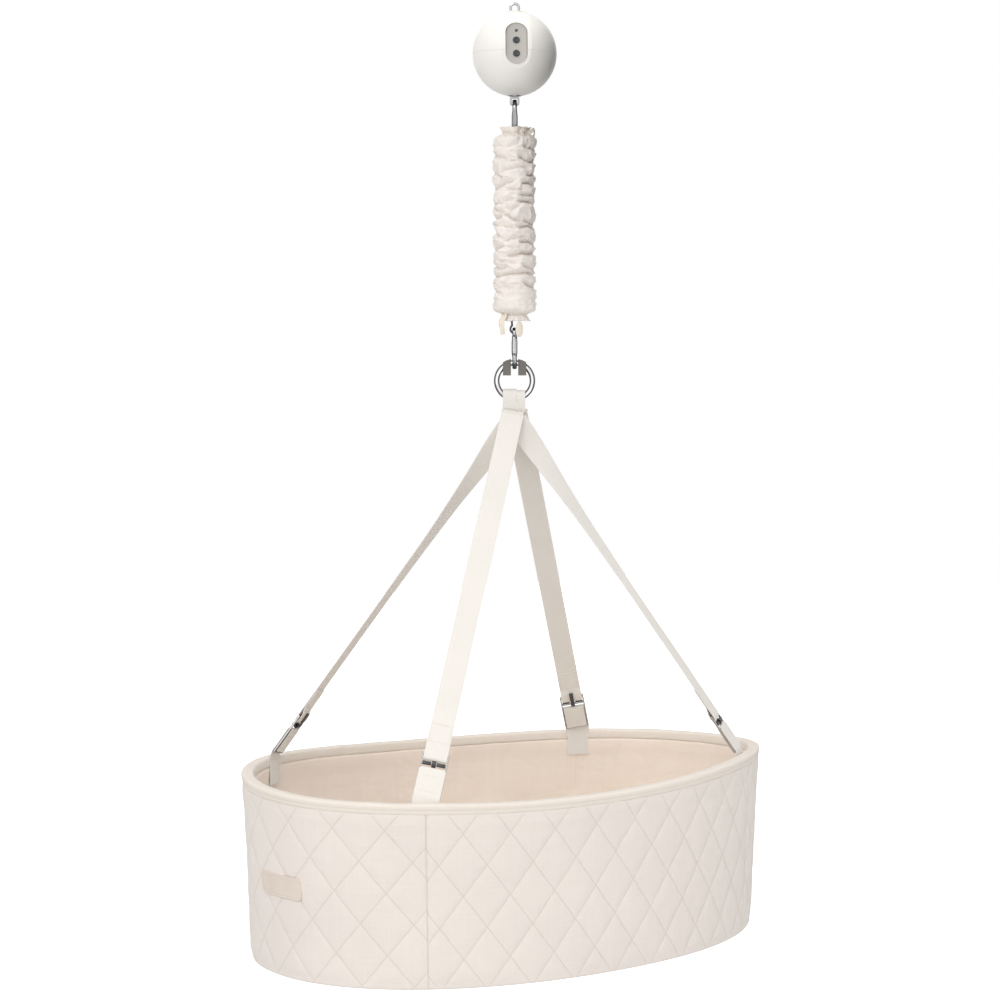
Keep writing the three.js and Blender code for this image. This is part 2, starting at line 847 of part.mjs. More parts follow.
function sleeveRadius(down, turn) {
  const end = Math.min(down, sleeve_length - down);
  const slow_wander = sleeve_wander_shares[0] * Math.sin(turn);
  const along = down / sleeve_length;
  const wander = slow_wander + sleeve_wander_shares[1] * Math.sin(2 * turn + 9 * along);
  const fold = Math.sin(2 * Math.PI * sleeve_folds * along + wander);
  const full = sleeve_radius + sleeve_fold_depth * fold;
  if (end >= sleeve_full_end) return full;
  if (end > neck_high) return sleeve_neck_radius + (full - sleeve_neck_radius) * neckEase(end);
  if (end > neck_low) return sleeve_neck_radius;
  const flare = 1 - end / neck_low;
  const ruffle = sleeve_ruffle_wave_share * Math.cos(sleeve_ruffle_waves * turn);
  return sleeve_neck_radius + sleeve_ruffle_flare * flare * (1 + ruffle);
}

function neckEase(end) {
  const share = (end - neck_high) / (sleeve_full_end - neck_high);
  return share * share * (3 - 2 * share);
}

// The pleats fill each neck down to a small bore, and open again at the hem
function sleeveBore(down, turn) {
  const end = Math.min(down, sleeve_length - down);
  const full = sleeve_radius - sleeve_fold_depth - sleeve_wall;
  if (end >= sleeve_full_end) return full;
  if (end > neck_high) return sleeve_neck_bore + (full - sleeve_neck_bore) * neckEase(end);
  if (end > neck_low) return sleeve_neck_bore;
  const hem = sleeveRadius(0, turn) - sleeve_wall;
  return hem + (sleeve_neck_bore - hem) * end / neck_low;
}

function sleeveRows(middle_rows) {
  const between = (sleeve_full_end - neck_high) / 3;
  const near = [
    0, neck_low / 2, neck_low, neck_high, neck_high + between, neck_high + 2 * between,
  ];
  const middle = [];
  const middle_length = sleeve_length - 2 * sleeve_full_end;
  for (let i = 0; i <= middle_rows; i += 1) {
    middle.push(sleeve_full_end + middle_length * i / middle_rows);
  }
  const far = near.map((end) => sleeve_length - end).reverse();
  return [...near, ...middle, ...far];
}

function sleeve() {
  const rounds = 20;
  const outer_middle_rows = 32;
  const inner_middle_rows = 3;
  const ringAt = (down, radiusAt) => {
    const row = [];
    for (let j = 0; j < rounds; j += 1) {
      const turn = 2 * Math.PI * j / rounds;
      const radius = radiusAt(turn);
      row.push(at(radius * Math.cos(turn), radius * Math.sin(turn), -sleeve_top - down));
    }
    return row;
  };
  const outer = sleeveRows(outer_middle_rows).map((down) => (
    ringAt(down, (turn) => sleeveRadius(down, turn))
  ));
  const inner = sleeveRows(inner_middle_rows).reverse().map((down) => (
    ringAt(down, (turn) => sleeveBore(down, turn))
  ));
  return loft([...outer, ...inner], true);
}

const ruffle_radius = sleeve_neck_radius + (1 + sleeve_ruffle_wave_share) * sleeve_ruffle_flare;

// Drawstrings: a ring round each neck, a bow at the top and a tail at the bottom
function neckRing(drop) {
  const radius = sleeve_neck_radius + fit_gap + tie_radius;
  const ring = new THREE.TorusGeometry(radius, tie_radius, 5, 20);
  ring.translate(0, 0, -drop);
  return ring;
}

function topTie() {
  const drop = sleeve_top + sleeve_neck_length;
  const neck = sleeve_neck_radius + fit_gap + tie_radius;
  const stand = ruffle_radius + tie_radius + running_gap;
  const loops = [-1, 1].map((side) => {
    const loop = new THREE.TorusGeometry(tie_bow_radius, tie_radius, 5, 12);
    loop.rotateY(Math.PI / 2);
    return loop.translate(stand, side * tie_bow_radius, 0);
  });
  const knot = box(at(neck, -tie_radius, -tie_radius), at(stand, tie_radius, tie_radius));
  const button_knot = new THREE.SphereGeometry(tie_knot_radius, 10, 6);
  button_knot.translate(stand, 0, 0);
  const bow = joined(knot, button_knot, ...loops);
  bow.translate(0, 0, -drop);
  bow.rotateZ(tie_bow_turn);
  return joined(neckRing(drop), bow);
}

function bottomTie() {
  const drop = sleeve_bottom - sleeve_neck_length;
  const reach = sleeve_neck_radius + 2 * tie_radius;
  const hang = -reach - tie_tail_stand;
  const places = [
    at(-reach + tie_radius, 0, -drop),
    at(hang, 0, -drop - tie_tail_length / 3),
    at(hang, 0, -drop - tie_tail_length),
  ];
  const across = at(0, 1, 0);
  const stations = places.map((place) => ({ at: place, across, out: at(-1, 0, 0) }));
  const tail = ribbon(stations, tie_tail_width, tie_radius);
  tail.rotateZ(tie_tail_turn);
  return joined(neckRing(drop), tail);
}

function sleeveTab() {
  const tab = new THREE.SphereGeometry(0.5, 12, 8);
  tab.scale(tab_size.x, tab_size.y, tab_size.z);
  const out = ruffle_radius - sleeve_wall / 2;
  tab.translate(0, -out, -sleeve_bottom - fit_gap - tab_size.z / 2);
  tab.rotateZ(sleeve_tab_turn);
  return tab;
}

// Ring, keepers and webbing loops
function ring() {
  const geometry = new THREE.TorusGeometry(ring_radius, ring_wire_radius, 8, 28);
  geometry.rotateX(Math.PI / 2);
  geometry.translate(0, 0, ring_center);
  return geometry;
}

function ringKeeper(side) {
  const outer = ring_wire_radius + fit_gap + keeper_wall;
  const top_height = ring_radius + outer;
  const leg_bottom = ring_radius + outer - keeper_leg;
  const near = side * keeper_inner_x;
  const far = side * (keeper_inner_x + keeper_width);
  const block = box(
    at(Math.min(near, far), -outer, leg_bottom),
    at(Math.max(near, far), outer, top_height),
  );
  const disc = new THREE.CylinderGeometry(top_height, top_height, 2 * outer, 32);
  const bore = new THREE.TorusGeometry(ring_radius, ring_wire_radius + fit_gap, 8, 28);
  bore.rotateX(Math.PI / 2);
  const slot = box(
    at(Math.min(near, far) - cut_overrun, -ring_wire_radius / 2, leg_bottom - cut_overrun),
    at(Math.max(near, far) + cut_overrun, ring_wire_radius / 2, leg_bottom + keeper_leg / 4),
  );
  const body = asSolid(block).intersect(asSolid(disc)).subtract(asSolid(bore));
  return asGeometry(body.subtract(asSolid(slot))).translate(0, 0, ring_center);
}

function ringLoop(width, middle) {
  const inner = ring_wire_radius + ring_loop_clear;
  const outer = inner + webbing_thickness;
  const widest = Math.abs(middle) + width / 2;
  const ring_inner = ring_radius - ring_wire_radius;
  const wire_rise = ring_radius - Math.sqrt(ring_inner ** 2 - widest ** 2);
  const top_middle = ring_bottom_wire + wire_rise + running_gap - inner;
  const low = strap_top + fit_gap;
  const foot = 3 * webbing_thickness;
  const shape = new THREE.Shape();
  const shoulder = ring_bottom_wire - ring_wire_radius / 2;
  shape.absarc(0, top_middle, outer, 0, Math.PI, false);
  shape.lineTo(-outer, shoulder);
  shape.lineTo(-foot, low);
  shape.lineTo(foot, low);
  shape.lineTo(outer, shoulder);
  shape.closePath();
  const hole = new THREE.Path();
  hole.absarc(0, top_middle, inner, 0, Math.PI, false);
  hole.lineTo(-inner, shoulder);
  hole.lineTo(-foot / 3, low + 2 * foot);
  hole.lineTo(foot / 3, low + 2 * foot);
  hole.lineTo(inner, shoulder);
  hole.closePath();
  shape.holes.push(hole);
  const band = plateXZ(shape, width, 6);
  band.rotateZ(Math.PI / 2);
  band.translate(middle, 0, 0);
  return band;
}

// A flat band through stations, each with its place, its width and its outer side
function ribbon(stations, width, thickness) {
  const rows = stations.map((station) => {
    const corners = [[-1, -1], [1, -1], [1, 1], [-1, 1]];
    return corners.map(([a, b]) => {
      const p = station.at.clone();
      p.addScaledVector(station.across, a * width / 2);
      p.addScaledVector(station.out, b * thickness / 2);
      return p;
    });
  });
  return loft(rows);
}

// Basket plan
function power(value, exponent) {
  return Math.sign(value) * Math.abs(value) ** exponent;
}

function rimRise(turn) {
  const lift = rim_lift_at_ends * Math.cos(2 * turn) - rim_lift_at_straps * Math.cos(4 * turn);
  return lift - rim_twist * Math.sin(2 * turn);
}

function planOut(turn) {
  const exponent = 2 - 2 / basket_corner_power;
  const x = power(Math.cos(turn), exponent) / basket_half_length;
  const y = power(Math.sin(turn), exponent) / basket_half_width;
  return at(x, y, 0).normalize();
}

// A place on the wall: turn about the basket, height above its bottom, depth inwards
function wallPoint(turn, height, depth) {
  const share = height / basket_height;
  const grow = basket_bottom_share + (1 - basket_bottom_share) * share;
  const exponent = 2 / basket_corner_power;
  const x = basket_half_length * grow * power(Math.cos(turn), exponent);
  const y = basket_half_width * grow * power(Math.sin(turn), exponent);
  const place = at(x + basket_shift_x, y + basket_shift_y, basket_bottom + height);
  place.z += rimRise(turn) * share;
  return place.addScaledVector(planOut(turn), -depth);
}

function turnsBetween(start, end, steps) {
  return Array.from({ length: steps + 1 }, (unused, i) => start + (end - start) * i / steps);
}

// Turns shared by everything that follows the wall, so that their flats line up
const stretches = {
  right_end: turnsBetween(-seam_turn, seam_turn, end_steps),
  rear: turnsBetween(seam_turn, Math.PI - seam_turn, side_steps),
  left_end: turnsBetween(Math.PI - seam_turn, Math.PI + seam_turn, end_steps),
  front: turnsBetween(Math.PI + seam_turn, 2 * Math.PI - seam_turn, side_steps),
};
const wall_turns = Object.values(stretches).flatMap((turns) => turns.slice(0, -1));

function wallRows(profile, turns) {
  return turns.map((turn) => profile.map(([height, depth]) => wallPoint(turn, height, depth)));
}

function wallRing(profile) {
  return loft(wallRows(profile, wall_turns), true);
}

function wallStretch(profile, turns) {
  return loft(wallRows(profile, turns));
}

function seamGap(turn) {
  const step = 0.001;
  const pace = wallPoint(turn + step, 0, 0).distanceTo(wallPoint(turn, 0, 0)) / step;
  return fit_gap / 2 / pace;
}

const panel_top = basket_height - binding_wall - fit_gap;
const panel_profile = [
  [panel_top, 0], [base_edge_round, 0], [base_edge_round / 3, base_edge_round / 4],
  [fit_gap, panel_wall], [panel_top, panel_wall],
];

function quiltedPanel(stretch) {
  const turns = [...stretch];
  const last = turns.length - 1;
  turns[0] += seamGap(turns[0]);
  turns[last] -= seamGap(turns[last]);
  return wallStretch(panel_profile, turns);
}

function foamWall() {
  const outer = panel_wall + fit_gap;
  const inner = outer + foam_wall_depth;
  const low = base_fabric_wall + 2 * fit_gap;
  return wallRing([[panel_top, outer], [low, outer], [low, inner], [panel_top, inner]]);
}

// A flat oval slab that follows the wall
function slab(low, high, depth) {
  const turns = wall_turns;
  const flat = (turn, height) => {
    const p = wallPoint(turn, height, depth);
    p.z = basket_bottom + height;
    return p;
  };
  return loft([turns.map((turn) => flat(turn, low)), turns.map((turn) => flat(turn, high))]);
}

const board_low = base_fabric_wall + 2 * fit_gap;
const lining_low = board_low + base_board_wall + fit_gap;
const lining_outer = panel_wall + foam_wall_depth + 2 * fit_gap;
const floor_high = lining_low + lining_wall;

function lining() {
  const turns = wall_turns;
  const floor_low = turns.map((turn) => wallPoint(turn, lining_low, lining_outer));
  floor_low.forEach((p) => { p.z = basket_bottom + lining_low; });
  const rows = [
    floor_low,
    turns.map((turn) => wallPoint(turn, panel_top, lining_outer)),
    turns.map((turn) => wallPoint(turn, panel_top, lining_outer + lining_wall)),
    turns.map((turn) => wallPoint(turn, floor_high, lining_outer + lining_wall)),
  ];
  rows[3].forEach((p) => { p.z = basket_bottom + floor_high; });
  return loft(rows);
}

function rimBinding() {
  const high = basket_height;
  const under = panel_top + fit_gap;
  const low = basket_height - binding_leg;
  const out = -fit_gap - binding_wall;
  const inside = wall_total + fit_gap;
  const far = inside + binding_wall;
  const round = binding_wall;
  return wallRing([
    [low, out], [low, -fit_gap], [under, -fit_gap], [under, inside], [low, inside],
    [low, far], [high, far - round], [high, out + round],
  ]);
}

// Mattress with a crown and sides drawn in
function mattress() {
  const depth = lining_outer + lining_wall + mattress_gap;
  const low = floor_high + fit_gap;
  const rounds = 32;
  const turns = turnsBetween(0, 2 * Math.PI, rounds).slice(0, -1);
  const ringAt = (height, inset, shrink) => turns.map((turn) => {
    const p = wallPoint(turn, height, depth + inset);
    p.x = basket_shift_x + (p.x - basket_shift_x) * shrink;
    p.y = basket_shift_y + (p.y - basket_shift_y) * shrink;
    p.z = basket_bottom + height;
    return p;
  });
  const rows = [];
  rows.push(ringAt(low, 2 * mattress_side_draw, 1));
  const side_rows = 4;
  for (let i = 0; i <= side_rows; i += 1) {
    const share = i / side_rows;
    const bulge = Math.sin(Math.PI * (mattress_foot_share + (1 - 2 * mattress_foot_share) * share));
    const inset = mattress_side_draw * (1 - bulge);
    const side_height = mattress_height - mattress_crown;
    const up = mattress_foot_share + (mattress_shoulder_share - mattress_foot_share) * share;
    const height = low + side_height * up;
    rows.push(ringAt(height, 2 * inset, 1));
  }
  for (let i = 1; i < mattress_rows; i += 1) {
    const share = i / mattress_rows;
    const rise = mattress_crown * Math.sin(share * Math.PI / 2);
    rows.push(ringAt(low + mattress_height - mattress_crown + rise, mattress_side_draw, 1 - share));
  }
  return loft(rows);
}

// A place on the flat between two shared turns
function onFlat(turns, turn, height, depth) {
  const next = turns.findIndex((value) => value > turn);
  const [before, after] = [turns[next - 1], turns[next]];
  const share = (turn - before) / (after - before);
  return wallPoint(before, height, depth).lerp(wallPoint(after, height, depth), share);
}

function labelPatch() {
  const out = -fit_gap;
  const far = out - label_wall;
  const top = label_bottom + label_height;
  const profile = [[label_bottom, out], [label_bottom, far], [top, far], [top, out]];
  const turns = stretches.left_end;
  const inner = turns.filter((turn) => turn > label_start_turn && turn < label_end_turn);
  const stops = [label_start_turn, ...inner, label_end_turn];
  const rowAt = (turn) => profile.map(([height, depth]) => onFlat(turns, turn, height, depth));
  return loft(stops.map(rowAt));
}

// Straps and buckles at the four corners
const outer_stack = 1.5 * strap_stack;
const corners = [
  {
    name: 'left',
    turn: Math.PI - seam_turn,
    start: at(-strap_spread_side, strap_stack / 2, 0),
    drop_share: 1,
  },
  {
    name: 'front',
    turn: Math.PI + seam_turn,
    start: at(-strap_spread_front, -outer_stack, 0),
    drop_share: 0.23,
  },
  {
    name: 'right',
    turn: -seam_turn,
    start: at(strap_spread_side, -strap_stack / 2, 0),
    drop_share: 1,
  },
  {
    name: 'rear',
    turn: seam_turn,
    start: at(strap_spread_front, outer_stack, 0),
    drop_share: 0.23,
  },
];

const ribbon_stand = buckle_thickness / 2 + fit_gap + webbing_thickness / 2;
const binding_depth = wall_total + fit_gap + binding_wall;
const tab_depth = binding_depth + fit_gap + tab_curve_room + webbing_thickness / 2;

function cornerFrame(corner) {
  const out = planOut(corner.turn);
  const along_rim = at(-out.y, out.x, 0);
  const root = wallPoint(corner.turn, basket_height, tab_depth);
  const start = corner.start.clone();
  start.z = strap_top - corner.drop_share * strap_start_drop;
  start.applyAxisAngle(at(0, 0, 1), hang_turn);
  const up = start.clone().sub(root).normalize();
  const across = along_rim.addScaledVector(up, -along_rim.dot(up)).normalize();
  const face = across.clone().cross(up);
  if (face.dot(out) < 0) {
    across.negate();
    face.negate();
  }
  return { out, root, start, up, across, face };
}

// A place beside a buckle: along the strap, and out from the buckle's middle plane
function beside(frame, along, outwards) {
  const p = frame.root.clone().addScaledVector(frame.up, buckle_lift + along);
  return p.addScaledVector(frame.face, outwards);
}

function turnRound(frame, along, over) {
  const stations = [];
  const steps = 6;
  for (let i = 1; i < steps; i += 1) {
    const turn = Math.PI * i / steps;
    const rise = over * ribbon_stand * Math.sin(turn);
    const out = frame.face.clone().multiplyScalar(Math.cos(turn));
    out.addScaledVector(frame.up, over * Math.sin(turn));
    const place = beside(frame, along + rise, ribbon_stand * Math.cos(turn));
    stations.push({ at: place, across: frame.across, out });
  }
  return stations;
}

function strap(corner) {
  const frame = cornerFrame(corner);
  const gear_across = at(1, 0, 0).applyAxisAngle(at(0, 0, 1), hang_turn);
  const level = gear_across.addScaledVector(frame.up, -gear_across.dot(frame.up)).normalize();
  if (level.dot(frame.across) < 0) level.negate();
  const sense = Math.sign(level.clone().cross(frame.across).dot(frame.up));
  const twist = sense * level.angleTo(frame.across);
  const fold_at = buckle_top_bar_at - fit_gap;
  const end = beside(frame, fold_at, ribbon_stand);
  const stations = [];
  const steps = 22;
  for (let i = 0; i <= steps; i += 1) {
    const share = (i / steps) ** 1.5;
    const across = level.clone();
    const begun = (share - strap_twist_start_share) / (1 - strap_twist_start_share);
    const left = 1 - Math.max(0, begun);
    across.applyAxisAngle(frame.up, twist * (1 - left ** strap_twist_power));
    const out = across.clone().cross(frame.up);
    if (i === steps) out.copy(frame.face);
    stations.push({ at: frame.start.clone().lerp(end, share), across, out });
  }
  const facing = stations[steps - 1].out.dot(frame.face);
  if (facing < 0) stations.slice(0, steps).forEach((station) => station.out.negate());
  stations.push(...turnRound(frame, fold_at, -1));
  const back = frame.face.clone().negate();
  for (const along of [fold_at, fold_at + strap_tail]) {
    stations.push({ at: beside(frame, along, -ribbon_stand), across: frame.across, out: back });
  }
  return ribbon(stations, webbing_width, webbing_thickness);
}

function rimTab(corner) {
  const frame = cornerFrame(corner);
  const low = wallPoint(corner.turn, basket_height - tab_sewn_length, tab_depth);
  const rim = wallPoint(corner.turn, basket_height, tab_depth);
  const tangent = at(-frame.out.y, frame.out.x, 0);
  if (tangent.dot(frame.across) < 0) tangent.negate();
  const fold_at = buckle_tab_bar_at + buckle_tab_bar + fit_gap;
  const stations = [
    { at: low, across: tangent, out: frame.out },
    { at: rim, across: tangent, out: frame.out },
    { at: beside(frame, -fit_gap, ribbon_stand), across: frame.across, out: frame.face },
    { at: beside(frame, fold_at, ribbon_stand), across: frame.across, out: frame.face },
    ...turnRound(frame, fold_at, 1),
  ];
  const back = frame.face.clone().negate();
  for (const along of [fold_at, buckle_foot_bar / 2]) {
    stations.push({ at: beside(frame, along, -ribbon_stand), across: frame.across, out: back });
  }
  return ribbon(stations, webbing_width, webbing_thickness);
}

function placeAtBuckle(geometry, frame) {
  const origin = beside(frame, 0, 0);
  const matrix = new THREE.Matrix4().makeBasis(frame.across, frame.up, frame.face);
  return geometry.applyMatrix4(matrix.setPosition(origin));
}

function buckleFrame(frame) {
  const half = buckle_width / 2;
  const inner = half - buckle_rail;
  const top = buckle_top_bar_at + buckle_top_bar;
  const shape = new THREE.Shape();
  shape.moveTo(-half, 0);
  shape.lineTo(half, 0);
  shape.lineTo(half, top);
  shape.lineTo(-half, top);
  shape.closePath();
  const windows = [
    [buckle_foot_bar, buckle_tab_bar_at],
    [buckle_tab_bar_at + buckle_tab_bar, buckle_pivot_at - buckle_pivot_bar / 2],
    [buckle_pivot_at + buckle_pivot_bar / 2, buckle_top_bar_at],
  ];
  for (const [low, high] of windows) {
    const window = new THREE.Path();
    window.moveTo(-inner, low);
    window.lineTo(inner, low);
    window.lineTo(inner, high);
    window.lineTo(-inner, high);
    window.closePath();
    shape.holes.push(window);
  }
  const plate = new THREE.ExtrudeGeometry(shape, { depth: buckle_thickness, bevelEnabled: false });
  plate.translate(0, 0, -buckle_thickness / 2);
  return placeAtBuckle(plate, frame);
}

const prong_bore = Math.SQRT1_2 * buckle_pivot_bar + fit_gap;
const prong_near = ribbon_stand + webbing_thickness / 2 + fit_gap;
const prong_far = prong_near + prong_thickness;

function prong(frame) {
  const reach = buckle_top_bar_at + buckle_top_bar + prong_overreach - buckle_pivot_at;
  const arm = box(at(-prong_width / 2, 0, -prong_far), at(prong_width / 2, reach, -prong_near));
  const knuckle = barAlongX(prong_far - prong_thickness / 2, -prong_width / 2, prong_width / 2, 16);
  const bore = barAlongX(prong_bore, -prong_width, prong_width, 12);
  const piece = cutFrom(joined(arm, knuckle), bore);
  piece.translate(0, buckle_pivot_at, 0);
  return placeAtBuckle(piece, frame);
}

// The whole cradle
put(hanging_gear, 'top_eye', topEye(), bright_steel());
put(ball, 'upper_shell', upperShell(), housing_plastic());
put(ball, 'lower_shell', lowerShell(), housing_plastic());
put(recess, 'control_panel', controlPanel(), panel_plastic());
put(recess, 'start_button', button(button_spots[0]), dark_rubber());
put(recess, 'speed_button', button(button_spots[1]), dark_rubber());
put(recess, 'signal_lens', lens(), dark_rubber());
put(recess, 'circuit_board', circuitBoard(), green_laminate());
put(hanging_gear, 'chassis', chassis(), dark_steel());
put(hanging_gear, 'gearbox', gearbox(), black_case());
put(hanging_gear, 'motor', motor(), bright_steel());
put(hanging_gear, 'pinion', pinion(), brass_bush());
put(hanging_gear, 'lift_rod', liftRod(), bright_steel());
put(hanging_gear, 'guide_bush', guideBush(), brass_bush());
put(hanging_gear, 'battery_pack', battery(), black_case());
put(hanging_gear, 'upper_hook', upperHookPiece(hookBody()), bright_steel());
put(hanging_gear, 'upper_hook_gate', upperHookPiece(hookGate()), bright_steel());
put(hanging_gear, 'spring', spring(), dark_steel());
put(hanging_gear, 'sleeve', sleeve(), sleeve_cloth());
put(hanging_gear, 'sleeve_top_tie', topTie(), sleeve_cloth());
put(hanging_gear, 'sleeve_bottom_tie', bottomTie(), sleeve_cloth());
put(hanging_gear, 'sleeve_tab', sleeveTab(), sleeve_cloth());
put(hanging_gear, 'lower_hook', lowerHookPiece(hookBody()), bright_steel());
put(hanging_gear, 'lower_hook_gate', lowerHookPiece(hookGate()), bright_steel());
put(hanging_gear, 'ring', ring(), bright_steel());
put(hanging_gear, 'ring_keeper_left', ringKeeper(-1), grey_nylon());
put(hanging_gear, 'ring_keeper_right', ringKeeper(1), grey_nylon());
put(hanging_gear, 'ring_loop_left', ringLoop(ring_loop_width, ring_loop_shift), webbing_cloth());
const second_loop_middle = ring_loop_shift + ring_loop_width / 2 + fit_gap + ring_loop_narrow / 2;
put(hanging_gear, 'ring_loop_right', ringLoop(ring_loop_narrow, second_loop_middle), webbing_cloth());

for (const corner of corners) {
  const frame = cornerFrame(corner);
  put(cradle, `strap_${corner.name}`, strap(corner), webbing_cloth());
  put(cradle, `rim_tab_${corner.name}`, rimTab(corner), webbing_cloth());
  put(cradle, `buckle_${corner.name}`, buckleFrame(frame), dark_steel());
  put(cradle, `prong_${corner.name}`, prong(frame), dark_steel());
}

put(cradle, 'quilt_front', quiltedPanel(stretches.front), quilt_cloth());
put(cradle, 'quilt_rear', quiltedPanel(stretches.rear), quilt_cloth());
put(cradle, 'quilt_left_end', quiltedPanel(stretches.left_end), quilt_cloth());
put(cradle, 'quilt_right_end', quiltedPanel(stretches.right_end), quilt_cloth());
put(cradle, 'foam_wall', foamWall(), foam_core());
put(cradle, 'lining', lining(), lining_cloth());
put(cradle, 'rim_binding', rimBinding(), binding_cloth());
put(cradle, 'base_fabric', slab(0, base_fabric_wall, panel_wall + fit_gap), quilt_cloth());
put(cradle, 'base_board', slab(board_low, board_low + base_board_wall, lining_outer), board_wood());
put(cradle, 'mattress', mattress(), binding_cloth());
put(cradle, 'label_patch', labelPatch(), patch_leather());

export default cradle;
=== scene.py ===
from itertools import product
import math

import bmesh
import bpy
import numpy as np
from mathutils import Matrix, Vector


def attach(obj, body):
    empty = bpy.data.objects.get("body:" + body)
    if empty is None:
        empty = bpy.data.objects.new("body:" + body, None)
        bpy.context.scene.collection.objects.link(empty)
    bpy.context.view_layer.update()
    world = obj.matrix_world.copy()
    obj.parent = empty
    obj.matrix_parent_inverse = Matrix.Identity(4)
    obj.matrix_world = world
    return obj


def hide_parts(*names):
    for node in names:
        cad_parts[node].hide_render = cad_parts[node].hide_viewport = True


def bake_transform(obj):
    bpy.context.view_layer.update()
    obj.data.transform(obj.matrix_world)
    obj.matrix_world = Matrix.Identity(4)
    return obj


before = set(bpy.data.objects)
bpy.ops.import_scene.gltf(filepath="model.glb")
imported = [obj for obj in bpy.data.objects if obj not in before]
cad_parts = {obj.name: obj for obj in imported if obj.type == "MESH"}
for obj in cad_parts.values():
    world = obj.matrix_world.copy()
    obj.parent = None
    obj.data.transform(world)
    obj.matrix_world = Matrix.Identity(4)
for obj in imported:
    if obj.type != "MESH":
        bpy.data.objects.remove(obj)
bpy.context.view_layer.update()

# A hanging baby cradle. Sizes are in millimetres here, and metres in the meshes.
MM = 0.001
PI = math.pi
OUTWARDS = np.array([0.0, -1.0, 0.0])

# Sizes shared with the solid model
HANG_TURN = -36.8 * PI / 180
BALL_RADIUS = 60.0
BALL_DROP = 69.3
SHELL_WALL = 3.0
RECESS_WIDTH = 31.0
RECESS_HEIGHT = 60.0
RECESS_BACK = 44.0
PANEL_BACK = 47.0
PANEL_FACE = 49.75
RECESS_TILT = 11 * PI / 180
RECESS_TURN = 2.5 * PI / 180
START_SPOT = 4.9
SPEED_SPOT = -14.5
LENS_SPOT = 19.0
EYE_WIRE = 3.4
EYE_THICKNESS = 4.0
EYE_SLOT = (8.4, 9.6)
HOOK_WIRE = 4.8
HOOK_THICKNESS = 6.4
HOOK_LENGTH = 60.0
HOOK_BOW = 14.0
HOOK_EYE = 8.0
GATE_SHARES = (0.34, 0.8)
GATE_GAP = 0.9
UPPER_HOOK_TOP = -133.8
LOWER_HOOK_TOP = -458.7
SPRING_WIRE = 1.6
SPRING_RADIUS = 13.0
SPRING_LOOP = 6.0
SPRING_TOP_LOOP = -191.4
SPRING_BOTTOM_LOOP = -461.1
SPRING_COIL = (-208.0, -424.0)
SPRING_CURLS = 36
SLEEVE_TOP = 173.0
SLEEVE_BOTTOM = 450.0
SLEEVE_LENGTH = SLEEVE_BOTTOM - SLEEVE_TOP
NECK_LENGTH = 11.0
NECK_BAND = 1.3
NECK_RADIUS = 15.7
PUFF_RADIUS = 30.3
TIE_RADIUS = 18.3
RING_CENTER = -535.2
RING_RADIUS = 25.7
RING_WIRE = 4.0
STRAP_TOP = -580.9
WEBBING_WIDTH = 32.0
WEBBING_THICKNESS = 1.5
HALF_LENGTH = 410.0
HALF_WIDTH = 275.0
CORNER_POWER = 2.12
SEAM_SPACING = 578.0
BASKET_HEIGHT = 256.0
BOTTOM_SHARE = 0.9715
RIM_TOP = -1086.3
BASKET_BOTTOM = RIM_TOP - BASKET_HEIGHT
SHIFT = np.array([-7.4, 5.5, 0.0])
PANEL_TOP = 254.5
WALL_TOTAL = 12.6
LINING_BACK = 10.8


# Numbers
def smoothstep(x):
    x = np.clip(x, 0.0, 1.0)
    return x * x * (3 - 2 * x)


def lattice(ix, iy, iz, seed):
    """A repeatable value from -1 to 1 at a whole-numbered place."""
    n = (ix * 374761393 + iy * 668265263 + iz * 1103515245 + seed * 362437) & 0xFFFFFFFF
    n = ((n ^ (n >> 13)) * 1274126177) & 0xFFFFFFFF
    return ((n ^ (n >> 16)) & 0xFFFF) / 32767.5 - 1.0


def wander(x, y, z=0.0, seed=0):
    """Smooth noise from -1 to 1 that takes arrays."""
    x, y, z = np.broadcast_arrays(*(np.asarray(v, float) for v in (x, y, z)))
    ix, iy, iz = (np.floor(v).astype(np.int64) for v in (x, y, z))
    fx, fy, fz = (smoothstep(v - i) for v, i in ((x, ix), (y, iy), (z, iz)))
    total = 0.0
    for a, b, c in product((0, 1), repeat=3):
        weight = (fx if a else 1 - fx) * (fy if b else 1 - fy) * (fz if c else 1 - fz)
        total = total + weight * lattice(ix + a, iy + b, iz + c, seed)
    return total


def unit(v):
    v = np.asarray(v, float)
    return v / np.maximum(np.linalg.norm(v, axis=-1, keepdims=True), 1e-12)


def signed_power(value, exponent):
    return np.sign(value) * np.abs(value) ** exponent


def turned(points, angle=HANG_TURN):
    """Turns points about the hang axis."""
    p = np.asarray(points, float)
    c, s = math.cos(angle), math.sin(angle)
    return np.stack([c * p[..., 0] - s * p[..., 1], s * p[..., 0] + c * p[..., 1], p[..., 2]], -1)


def circle(steps):
    return np.linspace(0, 2 * PI, steps, endpoint=False)


def arc(radius, angles, height):
    """Places on an upright arc in X and Z."""
    return np.stack([radius * np.cos(angles), 0 * angles, height + radius * np.sin(angles)], -1)


def distances(points):
    return np.concatenate([[0], np.linalg.norm(np.diff(points, axis=0), axis=1).cumsum()])


# Meshes
def metres_uv(points, wrap_rows, wrap_cols):
    """Distances along rows and columns, in metres, from the points themselves."""
    p = points * MM
    if wrap_rows:
        p = np.concatenate([p, p[:1]], 0)
    if wrap_cols:
        p = np.concatenate([p, p[:, :1]], 1)
    u = np.linalg.norm(np.diff(p, axis=1), axis=-1).cumsum(1)
    v = np.linalg.norm(np.diff(p, axis=0), axis=-1).cumsum(0)
    u = np.concatenate([np.zeros((p.shape[0], 1)), u], 1).mean(0)
    v = np.concatenate([np.zeros((1, p.shape[1])), v], 0).mean(1)
    return np.stack(np.meshgrid(u, v), -1)


